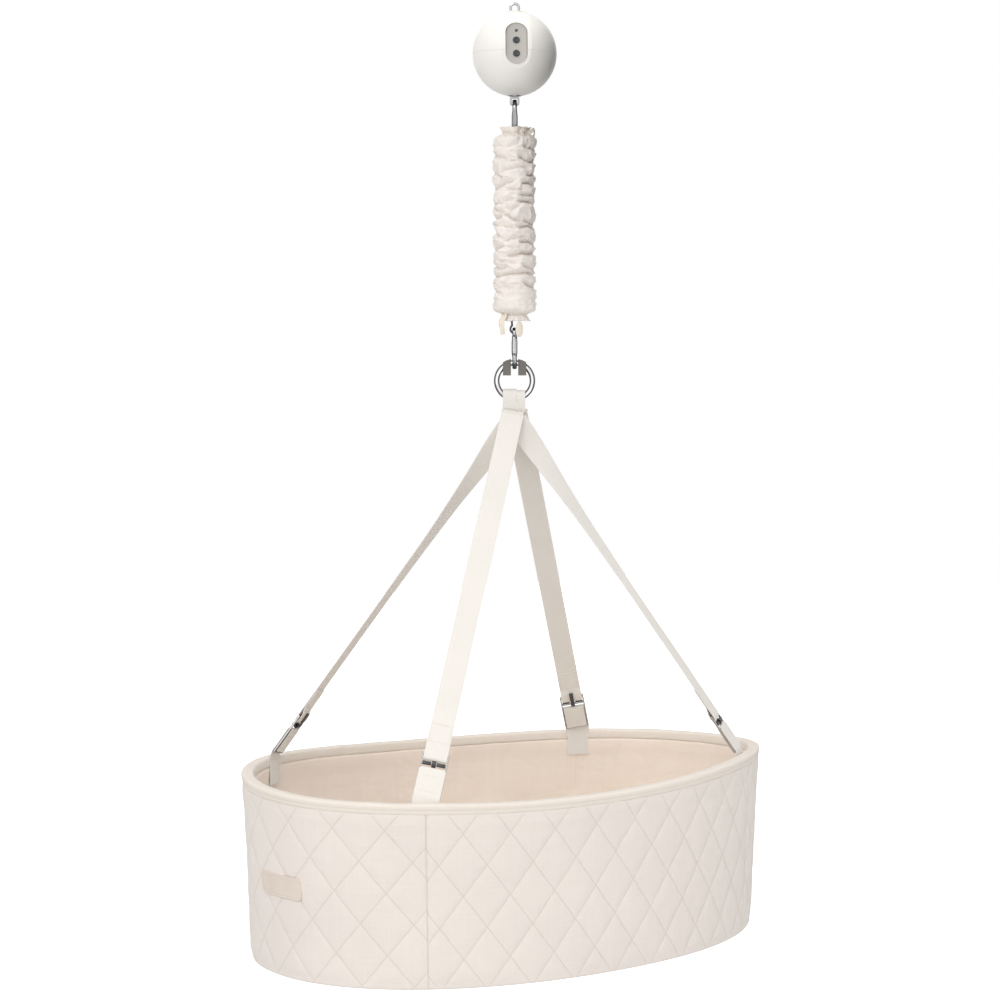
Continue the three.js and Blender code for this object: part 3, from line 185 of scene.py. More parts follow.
def grid(rows, wrap_rows=False, wrap_cols=False, caps=False, uv=None):
    """A part made of rows of points. Its UV map is in metres along the cloth."""
    p = np.asarray(rows, float)
    if uv is None:
        uv = metres_uv(p, wrap_rows, wrap_cols)
    count, cols = p.shape[:2]
    down, over = np.indices((count - 1 + wrap_rows, cols - 1 + wrap_cols))
    down = np.stack([down, down, down + 1, down + 1], -1).reshape(-1, 4)
    over = np.stack([over, over + 1, over + 1, over], -1).reshape(-1, 4)
    faces = (down % count * cols + over % cols).tolist()
    corners = uv[down, over].reshape(-1, 2)
    if caps:
        index = np.arange(count * cols).reshape(count, cols)
        ends = (index[0], index[-1]) if wrap_cols else (index[:, 0], index[:, -1])
        faces += [end.tolist() for end in ends]
        corners = np.concatenate([corners, np.zeros((sum(map(len, ends)), 2))])
    return {"points": p.reshape(-1, 3), "faces": faces, "uv": corners}


def moved(part, shift=(0, 0, 0), turn=0.0):
    part["points"] = turned(part["points"] + np.array(shift, float), turn)
    return part


def placed(name, data):
    obj = bpy.data.objects.new(name, data)
    bpy.context.scene.collection.objects.link(obj)
    return obj


def dress(obj, body, nodes):
    """Lets an object ride on a body and stand for nodes, whose solids it hides."""
    if body:
        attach(obj, body)
    if nodes:
        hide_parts(*nodes)
    return obj


def piece(name, parts, material, body, nodes=(), sharp=40, hung=False):
    """One object from one or more parts, in millimetres. Hung parts turn with the gear."""
    parts = parts if isinstance(parts, list) else [parts]
    faces, first = [], 0
    for part in parts:
        faces += [[first + i for i in face] for face in part["faces"]]
        first += len(part["points"])
    points = np.concatenate([part["points"] for part in parts])
    if hung:
        points = turned(points)
    mesh = bpy.data.meshes.new(name)
    mesh.from_pydata((points * MM).tolist(), [], faces)
    uv = np.concatenate([part["uv"] for part in parts]).astype(np.float32)
    mesh.uv_layers.new(name="cloth").data.foreach_set("uv", uv.ravel())
    work = bmesh.new()
    work.from_mesh(mesh)
    bmesh.ops.recalc_face_normals(work, faces=work.faces)
    work.to_mesh(mesh)
    work.free()
    mesh.shade_smooth()
    if sharp:
        mesh.set_sharp_from_angle(angle=math.radians(sharp))
    mesh.materials.append(material)
    return dress(placed(name, mesh), body, nodes)


def sweep(points, across, out, section, scale=None, closed=False):
    """A section of (across, out) places carried along a path with a frame at each station."""
    points, across, out, section = (np.asarray(v, float) for v in (points, across, out, section))
    if section.ndim == 2:
        section = np.broadcast_to(section, (len(points),) + section.shape)
    if scale is not None:
        section = section * np.asarray(scale, float).reshape(len(points), 1, -1)
    rows = points[:, None] + section[..., :1] * across[:, None] + section[..., 1:] * out[:, None]
    return grid(rows, closed, True, not closed)


def round_section(a, b, sides=12, power=1.0):
    """A closed outline of half sizes a and b, squarer as the power falls."""
    t = circle(sides)
    return np.stack([a * signed_power(np.cos(t), power), b * signed_power(np.sin(t), power)], -1)


def path_frames(points, normal, closed=False):
    """Frames that don't twist along a path, from a first normal."""
    p = np.asarray(points, float)
    along = unit(np.roll(p, -1, 0) - np.roll(p, 1, 0) if closed else np.gradient(p, axis=0))
    normal = np.asarray(normal, float)
    across, out = [], []
    for t in along:
        normal = unit(normal - t * normal.dot(t))
        out.append(normal)
        across.append(np.cross(t, normal))
    return np.array(across), np.array(out)


def tube(points, radius, sides=8, normal=(0, 1, 0), closed=False):
    across, out = path_frames(points, normal, closed)
    return sweep(points, across, out, round_section(radius, radius, sides), None, closed)


def lathe(profile, rounds=64, middle=(0, 0, 0)):
    """A closed (radius, height) outline turned about Z."""
    radius, height = np.array(profile, float).T
    t = circle(rounds)[:, None]
    ring = np.stack([radius * np.cos(t), radius * np.sin(t), height + 0 * t], -1)
    return grid(ring + np.array(middle, float), True, True)


def curve_through(knots, steps):
    """A smooth path through knots."""
    k = np.asarray(knots, float)
    at = np.linspace(0, len(k) - 1, steps)
    i = np.minimum(np.floor(at).astype(int), len(k) - 2)
    f = (at - i)[:, None]
    a, b, c, d = (k[np.clip(i + o, 0, len(k) - 1)] for o in (-1, 0, 1, 2))
    return 0.5 * (2 * b + (c - a) * f + (2 * a - 5 * b + 4 * c - d) * f ** 2
                  + (3 * b - a - 3 * c + d) * f ** 3)


# One stitch from end to end: places along it, its share of the thread's radius, and its rise
STITCH_AT = np.array([0.0, 0.2, 0.5, 0.8, 1.0])
STITCH_FAT = np.array([0.25, 0.9, 1.0, 0.9, 0.25])[:, None, None]
STITCH_RISE = np.array([-0.9, 0.1, 0.35, 0.1, -0.9])[:, None, None]
# Pitch, length and thread radius of the sewing on each part
RIM_SEWING = (3.3, 2.5, 0.36)
CLOTH_SEWING = (3.6, 2.7, 0.34)
STRAP_SEWING = (2.9, 2.2, 0.34)
LOOP_SEWING = (2.8, 2.1, 0.32)
PATCH_SEWING = (3.0, 2.2, 0.3)


def stitches(points, normals, pitch, length, radius, lift=0.12):
    """A run of separate thread stitches that lie on a surface."""
    p = np.asarray(points, float)
    normals = np.broadcast_to(np.asarray(normals, float), p.shape)
    s = distances(p)
    where = np.arange(0, s[-1], pitch)[:-1, None] + STITCH_AT * length
    middle, n = (np.stack([np.interp(where, s, v[:, k]) for k in range(3)], -1) for v in (p, normals))
    n = unit(n)
    side = unit(np.cross(unit(middle[:, -1:] - middle[:, :1]), n))
    middle, n, side = (v[:, :, None] for v in (middle, n, side))
    x, y = np.hsplit(round_section(1.0, 1.0, 5), 2)
    rows = middle + (lift + STITCH_RISE * radius) * n + STITCH_FAT * radius * (x * side + y * n)
    one = grid(rows[0], False, True, True)
    size = len(one["points"])
    faces = [[k * size + i for i in face] for k in range(len(rows)) for face in one["faces"]]
    return {"points": rows.reshape(-1, 3), "faces": faces, "uv": np.zeros((sum(map(len, faces)), 2))}


def clean_cad(name, material, bevel, segments=2):
    """Gives a solid that is kept its finish and rounded edges."""
    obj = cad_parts[name]
    for s in obj.material_slots:
        s.material = material
    weld = obj.modifiers.new("weld", "WELD")
    weld.merge_threshold = 0.00001
    edge = obj.modifiers.new("edges", "BEVEL")
    edge.width = bevel * MM
    edge.segments = segments
    edge.limit_method = "ANGLE"
    edge.angle_limit = math.radians(35)
    edge.harden_normals = False
    edge.use_clamp_overlap = True


# Node graphs
class Graph:
    """Short calls for a node tree."""

    def __init__(self, tree):
        self.tree = tree
        tree.nodes.clear()

    def put(self, socket, value):
        if isinstance(value, bpy.types.NodeSocket):
            self.tree.links.new(value, socket)
        elif value is not None:
            socket.default_value = value

    def node(self, kind, out=0, inputs=None, **settings):
        """A new node's output, or all its outputs where out is None."""
        n = self.tree.nodes.new(kind)
        for key, value in settings.items():
            setattr(n, key, value)
        for key, value in (inputs or {}).items():
            self.put(n.inputs[key], value)
        return n.outputs if out is None else n.outputs[out]

    def math(self, op, a, b=None):
        return self.node("ShaderNodeMath", 0, {0: a, 1: b}, operation=op)

    def add(self, a, b):
        return self.math("ADD", a, b)

    def sub(self, a, b):
        return self.math("SUBTRACT", a, b)

    def mul(self, a, b):
        return self.math("MULTIPLY", a, b)

    def over(self, a, b):
        return self.math("DIVIDE", a, b)

    def around(self, value, share):
        """An even noise value, brought about 0 and weakened."""
        return self.mul(self.sub(value, 0.5), share)

    def ramp(self, value, low, high, to_low=0.0, to_high=1.0):
        return self.node("ShaderNodeMapRange", 0, {0: value, 1: low, 2: high, 3: to_low, 4: to_high},
                         interpolation_type="SMOOTHSTEP")

    def noise(self, vector, scale, detail=2.0, rough=0.5):
        return self.node("ShaderNodeTexNoise", 0, {"Vector": vector, "Scale": scale,
                                                   "Detail": detail, "Roughness": rough})

    def cells(self, vector, scale, **settings):
        return self.node("ShaderNodeTexVoronoi", 0, {"Vector": vector, "Scale": scale}, **settings)

    def stretched(self, vector, x, y, z, turn=(0, 0, 0)):
        return self.node("ShaderNodeMapping", 0, {"Vector": vector, "Scale": (x, y, z),
                                                  "Rotation": turn})

    def toward(self, vector, direction):
        return self.node("ShaderNodeVectorMath", 1, {0: vector, 1: direction}, operation="DOT_PRODUCT")

    def mix(self, share, a, b, blend="MIX"):
        a, b = ((*v, 1.0) if isinstance(v, tuple) else v for v in (a, b))
        return self.node("ShaderNodeMix", 2, {0: share, 6: a, 7: b}, data_type="RGBA", blend_type=blend)

    def tinted(self, base, factor):
        """A base colour times a grey factor."""
        grey = self.node("ShaderNodeCombineColor", 0, {0: factor, 1: factor, 2: factor})
        return self.mix(1.0, base, grey, "MULTIPLY")

    def split(self, vector):
        return self.node("ShaderNodeSeparateXYZ", None, {0: vector})

    def bump(self, height, distance, strength, normal=None):
        return self.node("ShaderNodeBump", 0, {"Height": height, "Distance": distance,
                                               "Strength": strength, "Normal": normal})

    def group(self, tree, **inputs):
        return self.node("ShaderNodeGroup", None, inputs, node_tree=tree)


def new_group(name, outputs, **floats):
    """A node group with a vector input, float inputs with their defaults, and float outputs."""
    tree = bpy.data.node_groups.new(name, "ShaderNodeTree")
    tree.interface.new_socket(name="Vector", in_out="INPUT", socket_type="NodeSocketVector")
    for label, value in floats.items():
        s = tree.interface.new_socket(name=label, in_out="INPUT", socket_type="NodeSocketFloat")
        s.default_value = value
    for label in outputs:
        tree.interface.new_socket(name=label, in_out="OUTPUT", socket_type="NodeSocketFloat")
    g = Graph(tree)
    return g, tree.nodes.new("NodeGroupInput").outputs, tree.nodes.new("NodeGroupOutput").inputs


def linear(rgb):
    """A colour as a paint chart gives it, 0 to 255, made linear."""
    shares = [value / 255 for value in rgb]
    return tuple(v / 12.92 if v <= 0.04045 else ((v + 0.055) / 1.055) ** 2.4 for v in shares)


def weave_group():
    """Plain weave: over and under threads with slubs, from a map in metres."""
    g, i, o = new_group("plain_weave", ("Height", "Tone"), Threads=1400.0)
    wobble = g.noise(i["Vector"], 90.0, 1.0)
    x, y, _ = g.split(i["Vector"])
    sx = g.add(g.mul(x, i["Threads"]), g.mul(wobble, 0.9))
    sy = g.add(g.mul(y, i["Threads"]), g.mul(wobble, 0.7))
    hx, hy = (g.math("ABSOLUTE", g.math("SINE", g.mul(v, PI))) for v in (sx, sy))
    odd = g.math("PINGPONG", g.add(g.math("FLOOR", sx), g.math("FLOOR", sy)), 1.0)
    height = g.add(g.mul(odd, hx), g.mul(g.sub(1.0, odd), hy))
    slub_x = g.noise(g.stretched(i["Vector"], 8.0, 520.0, 1.0), 1.0)
    slub_y = g.noise(g.stretched(i["Vector"], 520.0, 8.0, 1.0), 1.0)
    tone = g.mul(g.add(slub_x, slub_y), 0.5)
    g.put(o["Height"], g.add(g.mul(height, 0.75), g.mul(tone, 0.5)))
    g.put(o["Tone"], tone)
    return g.tree


def webbing_group():
    """Heavy herringbone webbing, from a map in metres."""
    g, i, o = new_group("webbing_weave", ("Height", "Tone"))
    x, y, _ = g.split(i["Vector"])
    zig = g.math("PINGPONG", g.mul(x, 1000.0), 4.0)
    rib = g.math("SINE", g.mul(g.add(g.mul(y, 900.0), g.mul(zig, 0.8)), 2 * PI * 0.62))
    cord = g.math("ABSOLUTE", g.math("SINE", g.mul(x, 1000.0 * PI / 1.6)))
    slub = g.noise(g.stretched(i["Vector"], 700.0, 60.0, 1.0), 1.0)
    g.put(o["Height"], g.add(g.mul(g.add(rib, 1.0), 0.3), g.mul(cord, 0.35)))
    g.put(o["Tone"], g.add(g.mul(rib, 0.22), slub))
    return g.tree


def cloud_group():
    """Slow and quick unevenness in a colour, about 1."""
    g, i, o = new_group("uneven", ("Factor", "Fine"), Size=12.0, Depth=0.06)
    slow = g.noise(i["Vector"], i["Size"], 3.0, 0.55)
    quick = g.noise(i["Vector"], g.mul(i["Size"], 14.0), 3.0, 0.6)
    both = g.add(g.around(slow, 1.6), g.around(quick, 0.7))
    g.put(o["Factor"], g.add(1.0, g.mul(both, i["Depth"])))
    g.put(o["Fine"], quick)
    return g.tree


def quilting_group():
    """Two families of slanting stitch lines, with thread dashes and the crease beside them; the crease output
    also paints shade into the colour beside the lines.
    """
    g, i, o = new_group("diamond_stitching", ("Thread", "CreaseAndPaintedShade"), Width=0.066, Height=0.087,
                        First=0.0, Second=0.0)
    x, y, _ = g.split(i["Vector"])
    width, height = i["Width"], i["Height"]
    diagonal = g.math("SQRT", g.add(g.math("POWER", width, 2.0), g.math("POWER", height, 2.0)))
    spacing = g.over(g.mul(width, height), diagonal)
    waver = g.around(g.noise(i["Vector"], 35.0, 1.0), 0.02)
    threads, creases = [], []
    for sign, phase in ((1.0, i["First"]), (-1.0, i["Second"])):
        lines = g.add(g.over(x, width), g.mul(g.over(y, height), sign))
        lines = g.add(g.sub(lines, phase), waver)
        off = g.mul(g.math("PINGPONG", lines, 0.5), spacing)
        along = g.over(g.sub(g.mul(x, width), g.mul(g.mul(y, height), sign)), diagonal)
        dash = g.math("FRACT", g.mul(along, 1 / 0.0034))
        on = g.mul(g.ramp(dash, 0.04, 0.14), g.ramp(dash, 0.72, 0.82, 1.0, 0.0))
        threads.append(g.mul(on, g.ramp(off, 0.00025, 0.0005, 1.0, 0.0)))
        creases.append(g.ramp(off, 0.0, 0.0016, 1.0, 0.0))
    fade = g.mul(g.ramp(y, 0.246, 0.238), g.ramp(y, 0.0, 0.006))
    g.put(o["Thread"], g.mul(g.math("MAXIMUM", *threads), fade))
    g.put(o["CreaseAndPaintedShade"], g.mul(g.math("MAXIMUM", *creases), fade))
    return g.tree


WEAVE = weave_group()
WEBBING = webbing_group()
CLOUD = cloud_group()
QUILTING = quilting_group()


class Surface(Graph):
    """A material's nodes. Constant values sit on the shader's own sockets."""

    def __init__(self, name, roughness, metallic=0.0, **constants):
        self.material = bpy.data.materials.new(name)
        self.material.use_nodes = True
        super().__init__(self.material.node_tree)
        shader = self.tree.nodes.new("ShaderNodeBsdfPrincipled")
        out = self.tree.nodes.new("ShaderNodeOutputMaterial")
        self.tree.links.new(shader.outputs[0], out.inputs[0])
        self.sockets = shader.inputs
        for key, value in {"Metallic": metallic, "Roughness": roughness, **constants}.items():
            self.sockets[key.replace("_", " ")].default_value = value
        self.place = self.node("ShaderNodeTexCoord", 3)

    def cloud(self, size, depth):
        return self.group(CLOUD, Vector=self.place, Size=size, Depth=depth)

    def finish(self, colour, roughness=None, normal=None):
        for key, value in (("Base Color", colour), ("Roughness", roughness), ("Normal", normal)):
            self.put(self.sockets[key], value)
        return self.material


def cloth(name, colour, threads=1400.0, depth=0.06, creases=0.0, quilt=None, nap=0.35, size=9.0,
          shine=0.88):
    """Woven cotton: weave, slubs, soft unevenness, small creases and a little nap."""
    g = Surface(name, shine, Sheen_Weight=nap, Sheen_Roughness=0.5,
                Specular_IOR_Level=0.25 + 0.6 * (0.88 - shine))
    uv = g.node("ShaderNodeUVMap", 0, uv_map="cloth")
    height, tone = g.group(WEAVE, Vector=uv, Threads=threads)
    factor, fine = g.cloud(size, depth)
    colour = g.tinted(linear(colour), g.add(factor, g.around(tone, 0.11)))
    relief = g.bump(height, 0.00012, 0.7)
    relief = g.bump(g.noise(g.place, 60.0, 3.0, 0.6), 0.0012, 0.35, relief)
    if creases:
        lines = g.noise(g.stretched(g.place, 9.0, 9.0, 15.0, (0.3, 0.5, 0.2)), 1.0, 3.0)
        fold = g.math("ABSOLUTE", g.sub(lines, 0.5))
        relief = g.bump(g.ramp(fold, 0.0, 0.08), creases, 0.6, relief)
    if not quilt:
        return g.finish(colour, g.add(shine - 0.05, g.mul(fine, 0.12)), relief)
    width, height, first, second = quilt
    stitch, crease = g.group(QUILTING, Vector=uv, Width=width * MM, Height=height * MM,
                             First=first, Second=second)
    # Painted shade: the colour darkens by up to about 5% beside the stitch lines, where the creases would lie
    # in shade; the same mask also sinks the bump.
    colour = g.mix(g.mul(crease, 0.2), colour, g.tinted(colour, 0.74))
    colour = g.mix(g.mul(stitch, 0.75), colour, linear((214, 200, 186)))
    relief = g.bump(g.sub(g.mul(stitch, 0.5), crease), 0.0005, 0.6, relief)
    return g.finish(colour, g.sub(shine, g.mul(stitch, 0.3)), relief)


def webbing(name, colour):
    """Woven webbing with a faint herringbone."""
    g = Surface(name, 0.8, Sheen_Weight=0.2, Specular_IOR_Level=0.3)
    height, tone = g.group(WEBBING, Vector=g.node("ShaderNodeUVMap", 0, uv_map="cloth"))
    factor, fine = g.cloud(16.0, 0.05)
    colour = g.tinted(linear(colour), g.add(factor, g.around(tone, 0.06)))
    return g.finish(colour, g.add(0.74, g.mul(fine, 0.14)), g.bump(height, 0.000004, 0.4))


def thread(name, colour):
    """Twisted sewing thread."""
    g = Surface(name, 0.6, Sheen_Weight=0.3)
    twist = g.node("ShaderNodeTexWave", 1, {"Vector": g.place, "Scale": 900.0, "Distortion": 3.0},
                   bands_direction="DIAGONAL")
    colour = g.tinted(linear(colour), g.add(0.86, g.mul(twist, 0.22)))
    return g.finish(colour, None, g.bump(twist, 0.0001, 0.6))


def plastic(name, colour, roughness=0.4, grain=0.00003, coat=0.0, scale=900.0):
    """Moulded plastic with a fine spark-eroded grain and a little handling wear."""
    g = Surface(name, roughness, Coat_Weight=coat, Coat_Roughness=0.2, Specular_IOR_Level=0.45)
    factor, fine = g.cloud(20.0, 0.035)
    pits = g.cells(g.place, scale)
    smear = g.noise(g.stretched(g.place, 1.0, 1.0, 0.35), 55.0, 4.0, 0.6)
    rough = g.add(g.add(roughness - 0.08, g.mul(smear, 0.14)), g.mul(fine, 0.03))
    return g.finish(g.tinted(linear(colour), factor), rough,
                    g.bump(g.add(pits, g.mul(fine, 0.5)), grain, 0.5))


def metal(name, colour, roughness, worn=(150, 150, 150), scratch=0.00002, drawn=1.0, rim=0.0):
    """Plated or polished steel: drawn lines, fine scratches and duller patches, and, with rim, a painted dark
    edge at grazing view angles.
    """
    g = Surface(name, roughness, 1.0, Specular_IOR_Level=0.5)
    factor, _ = g.cloud(45.0, 0.12)
    lines = g.noise(g.stretched(g.place, 260.0, 260.0, 260.0 * drawn), 1.0, 4.0, 0.7)
    nicks = g.noise(g.place, 420.0, 2.0, 0.8)
    rubbed = g.ramp(g.noise(g.place, 70.0, 4.0, 0.65), 0.55, 0.75)
    tone = g.mix(g.mul(rubbed, 0.35), linear(colour), linear(worn))
    if rim:
        # Painted reflection: the colour darkens towards grazing view angles, standing in for dark
        # surroundings reflected at the metal's edges.
        edge = g.node("ShaderNodeLayerWeight", 1, {"Blend": 0.5})
        tone = g.mix(g.mul(g.ramp(edge, 0.0, 0.16), rim), tone, linear((58, 58, 61)))
        g.sockets["Specular Tint"].default_value = (0.4, 0.4, 0.42, 1.0)
    return g.finish(g.tinted(tone, g.add(factor, g.around(lines, 0.08))),
                    g.add(roughness, g.add(g.mul(rubbed, 0.12), g.mul(lines, 0.08))),
                    g.bump(g.add(lines, nicks), scratch, 0.5))


def leather(name, colour):
    """Smooth leather with fine pores."""
    g = Surface(name, 0.6, Specular_IOR_Level=0.4, Coat_Weight=0.08)
    factor, _ = g.cloud(40.0, 0.1)
    pores = g.ramp(g.cells(g.place, 650.0, feature="DISTANCE_TO_EDGE"), 0.0, 0.12)
    wide = g.noise(g.place, 160.0, 3.0, 0.6)
    return g.finish(g.tinted(linear(colour), g.mul(factor, g.add(0.9, g.mul(pores, 0.1)))),
                    g.sub(0.72, g.mul(pores, 0.16)), g.bump(g.add(pores, wide), 0.00015, 0.7))


def wood(name):
    """Plain board with long rings and pores."""
    g = Surface(name, 0.6)
    rings = g.node("ShaderNodeTexWave", 1, {"Vector": g.stretched(g.place, 1.0, 6.0, 6.0),
                                            "Scale": 5.0, "Distortion": 7.0, "Detail": 4.0})
    pores = g.noise(g.stretched(g.place, 30.0, 900.0, 900.0), 1.0, 3.0, 0.6)
    tone = g.mix(rings, linear((176, 140, 92)), linear((214, 184, 138)))
    return g.finish(g.tinted(tone, g.add(0.86, g.mul(pores, 0.24))),
                    g.add(0.55, g.mul(pores, 0.2)), g.bump(pores, 0.0002, 0.6))


def foam(name):
    """Open-celled foam."""
    g = Surface(name, 0.95)
    cells = g.cells(g.place, 700.0)
    factor, fine = g.cloud(18.0, 0.08)
    return g.finish(g.tinted(linear((233, 228, 210)), g.sub(factor, g.mul(cells, 0.25))),
                    g.add(0.88, g.mul(fine, 0.1)), g.bump(cells, 0.0006, 0.8))


def laminate(name):
    """Circuit board: green mask over copper tracks, with tinned pads."""
    g = Surface(name, 0.4, Specular_IOR_Level=0.5)
    tracks = g.node("ShaderNodeTexBrick", 1, {"Vector": g.place, "Scale": 130.0,
                                              "Mortar Size": 0.05})
    dot = g.ramp(g.cells(g.place, 320.0), 0.18, 0.22, 1.0, 0.0)
    tone = g.mix(tracks, linear((36, 92, 58)), linear((66, 128, 78)))
    tone = g.mix(dot, tone, linear((196, 196, 186)))
    return g.finish(g.tinted(tone, g.add(0.9, g.mul(g.noise(g.place, 900.0), 0.2))),
                    g.sub(0.46, g.mul(dot, 0.18)), g.bump(g.add(tracks, dot), 0.00006, 0.6))


# Slant stitching of each wall, a little different as sewn: width, height and two phases
PATTERNS = {
    "front": (66.25, 87.0, 0.231, 0.265),
    "left_end": (73.5, 86.0, -0.194, -0.31),
    "rear": (66.25, 87.0, 0.1, 0.42),
    "right_end": (73.5, 86.0, 0.3, 0.15),
}
quilts = {side: cloth("quilted_cotton_" + side, (235, 226, 218), quilt=pattern, depth=0.05)
          for side, pattern in PATTERNS.items()}
lining_cotton = cloth("lining_cotton", (245, 231, 218), creases=0.0008, depth=0.05)
binding_cotton = cloth("binding_cotton", (237, 227, 216), threads=1700.0, depth=0.04)
mattress_cotton = cloth("mattress_cotton", (242, 240, 235), creases=0.0008, depth=0.04)
sleeve_cotton = cloth("sleeve_cotton", (241, 233, 226), threads=1900.0, creases=0.0012, size=30.0,
                      nap=0.12, shine=0.6)
base_cotton = cloth("base_cotton", (230, 222, 215), depth=0.05)
ribbon_cotton = cloth("ribbon_cotton", (236, 226, 210), threads=2400.0, size=40.0, nap=0.5)
strap_webbing = webbing("strap_webbing", (230, 225, 218))
white_thread = thread("white_thread", (238, 234, 226))
beige_thread = thread("beige_thread", (216, 204, 190))
ball_plastic = plastic("ball_plastic", (238, 235, 229), 0.36, coat=0.1)
panel_plastic = plastic("panel_plastic", (182, 178, 172), 0.48, 0.00005)
button_rubber = plastic("button_rubber", (52, 57, 60), 0.3, 0.00004, scale=1400.0)
lens_plastic = plastic("lens_plastic", (40, 44, 46), 0.16, 0.00001, coat=0.6)
keeper_nylon = plastic("keeper_nylon", (112, 106, 102), 0.5, 0.00007)
case_plastic = plastic("case_plastic", (42, 44, 48), 0.5, 0.00006)
# rim sets how strongly a dark edge is painted into each metal's colour at grazing view angles.
ring_steel = metal("ring_steel", (250, 250, 250), 0.08, (226, 226, 227), rim=0.9)
hook_steel = metal("hook_steel", (190, 190, 192), 0.2, (150, 150, 152), 0.00004, rim=0.85)
eye_steel = metal("eye_steel", (206, 207, 210), 0.14, (176, 176, 178), rim=0.85)
rod_steel = metal("rod_steel", (186, 187, 188), 0.24, (150, 150, 150), 0.00003, 0.1)
spring_steel = metal("spring_steel", (104, 106, 110), 0.3, (150, 150, 152), 0.00004)
buckle_steel = metal("buckle_steel", (222, 218, 214), 0.16, (176, 170, 166), 0.00003, rim=0.5)
bar_steel = metal("bar_steel", (88, 86, 87), 0.38, (120, 118, 118), 0.00004)
brass = metal("brass", (190, 162, 96), 0.3, (214, 190, 130), 0.00003)
board_wood = wood("board_wood")
core_foam = foam("core_foam")
board_laminate = laminate("board_laminate")
patch_leather = leather("patch_leather", (230, 216, 204))


# Top eye and ball
def oval_path(width, height, middle):
    """A closed path of straight sides and round ends in X and Z."""
    radius = width / 2
    straight = height / 2 - radius
    t = np.linspace(0, PI, 36)
    return np.concatenate([arc(radius, t, middle + straight), arc(radius, t + PI, middle - straight)])


def make_top_eye():
    """The forged eye, with the stem and washer that hold it in the ball."""
    width, height = EYE_SLOT
    outer = oval_path(width + 2 * EYE_WIRE, height + 2 * EYE_WIRE, -height / 2)
    inner = oval_path(width, height, -height / 2)
    out = np.broadcast_to([0.0, 1.0, 0.0], outer.shape)
    half = np.linalg.norm(outer - inner, axis=1) / 2
    section = round_section(1.0, EYE_THICKNESS / 2, 16, 0.35)
    scale = np.stack([half, np.ones(len(half))], -1)
    loop = sweep((outer + inner) / 2, unit(outer - inner), out, section, scale, True)
    top = -height - EYE_WIRE * 0.55
    stem = lathe([(0.01, top), (3.4, top), (4.0, top - 0.8), (4.0, -40.0), (7.6, -40.3),
                  (8.0, -40.8), (8.0, -43.3), (7.4, -43.9), (0.01, -43.9)])
    piece("eye_forging", [loop, stem], eye_steel, "housing", ["top_eye"], hung=True)


def capsule_reach(turn, width, height):
    """How far a capsule outline lies from its middle in one direction, by halving."""
    radius = width / 2
    straight = height / 2 - radius
    low, high = np.zeros_like(turn), np.full_like(turn, height)
    for _ in range(40):
        middle = (low + high) / 2
        x, z = middle * np.cos(turn), np.maximum(np.abs(middle * np.sin(turn)) - straight, 0)
        inside = np.hypot(x, z) < radius
        low, high = np.where(inside, middle, low), np.where(inside, high, middle)
    return low


def to_recess(points):
    """Places about the ball's middle, with -Y out of the recess, moved to where it looks."""
    m = np.array(Matrix.Rotation(HANG_TURN, 4, "Z") @ Matrix.Translation((0, 0, -BALL_DROP))
                 @ Matrix.Rotation(RECESS_TURN, 4, "Z") @ Matrix.Rotation(-RECESS_TILT, 4, "X"))
    return np.asarray(points, float) @ m[:3, :3].T + m[:3, 3]


def recess_rays(steps, smaller=0.0):
    """Turns about the recess, their directions, and the reach of its outline along each."""
    turns = circle(steps)
    reach = capsule_reach(turns, RECESS_WIDTH - smaller, RECESS_HEIGHT - smaller)
    return turns, np.stack([np.cos(turns), 0 * turns, np.sin(turns)], -1), reach[:, None]


def recess_lathe(profile, spot):
    """An outline of (radius, distance out) turned about an axis that looks out of the recess."""
    part = lathe(profile, 48)
    x, y, z = part["points"].T
    part["points"] = to_recess(np.stack([x, -z, y + spot], -1))
    return part


def ball_rows():
    """The whole ball as rings about the recess: its wall, its lip, then the outside."""
    turns, side, reach = recess_rays(144)
    soft = (1.6 + 2.2 * smoothstep(np.cos(turns) * 1.3))[:, None]
    edge = np.sqrt(BALL_RADIUS ** 2 - reach ** 2)
    lip_lean = np.arcsin(np.minimum((reach + soft) / BALL_RADIUS, 1))

    def on_ball(lean, distance):
        """A ring on the ball, which is a little lower close to the recess."""
        radius = BALL_RADIUS - 0.7 * (1 - smoothstep((distance - 4.4) / 1.4))
        return radius * (side * np.sin(lean) + OUTWARDS * np.cos(lean))

    def lean_at(distance):
        return np.arcsin((reach + distance * np.cos(lip_lean)) / BALL_RADIUS)

    rows = [side * reach + OUTWARDS * (RECESS_BACK + (edge - soft - RECESS_BACK) * share)
            for share in np.linspace(0, 1, 7)]
    last, first = rows[-1], on_ball(lip_lean, soft)
    corner = side * reach + OUTWARDS * (edge - 0.3)
    rows += [last * (1 - s) ** 2 + 2 * s * (1 - s) * corner + first * s ** 2 for s in (0.2, 0.4, 0.6, 0.8)]
    near = [soft + (7.0 - soft) * share for share in np.linspace(0, 1, 10)] + [9, 11, 14]
    rows += [on_ball(lean_at(distance), distance) for distance in near]
    lip_count, start = len(rows), lean_at(near[-1])
    rows += [on_ball(start + (PI - start) * share, 99.0) for share in np.linspace(0, 1, 62)[1:-1]]
    rows.append(side * 0.01 - OUTWARDS * BALL_RADIUS)
    inner = np.array(rows[lip_count:][::-1])
    inner = inner * (1 - SHELL_WALL / np.linalg.norm(inner, axis=-1, keepdims=True))
    collar = [side * (reach + 2.0) + OUTWARDS * depth for depth in (50.0, PANEL_BACK, RECESS_BACK)]
    return np.concatenate([rows, inner, collar])


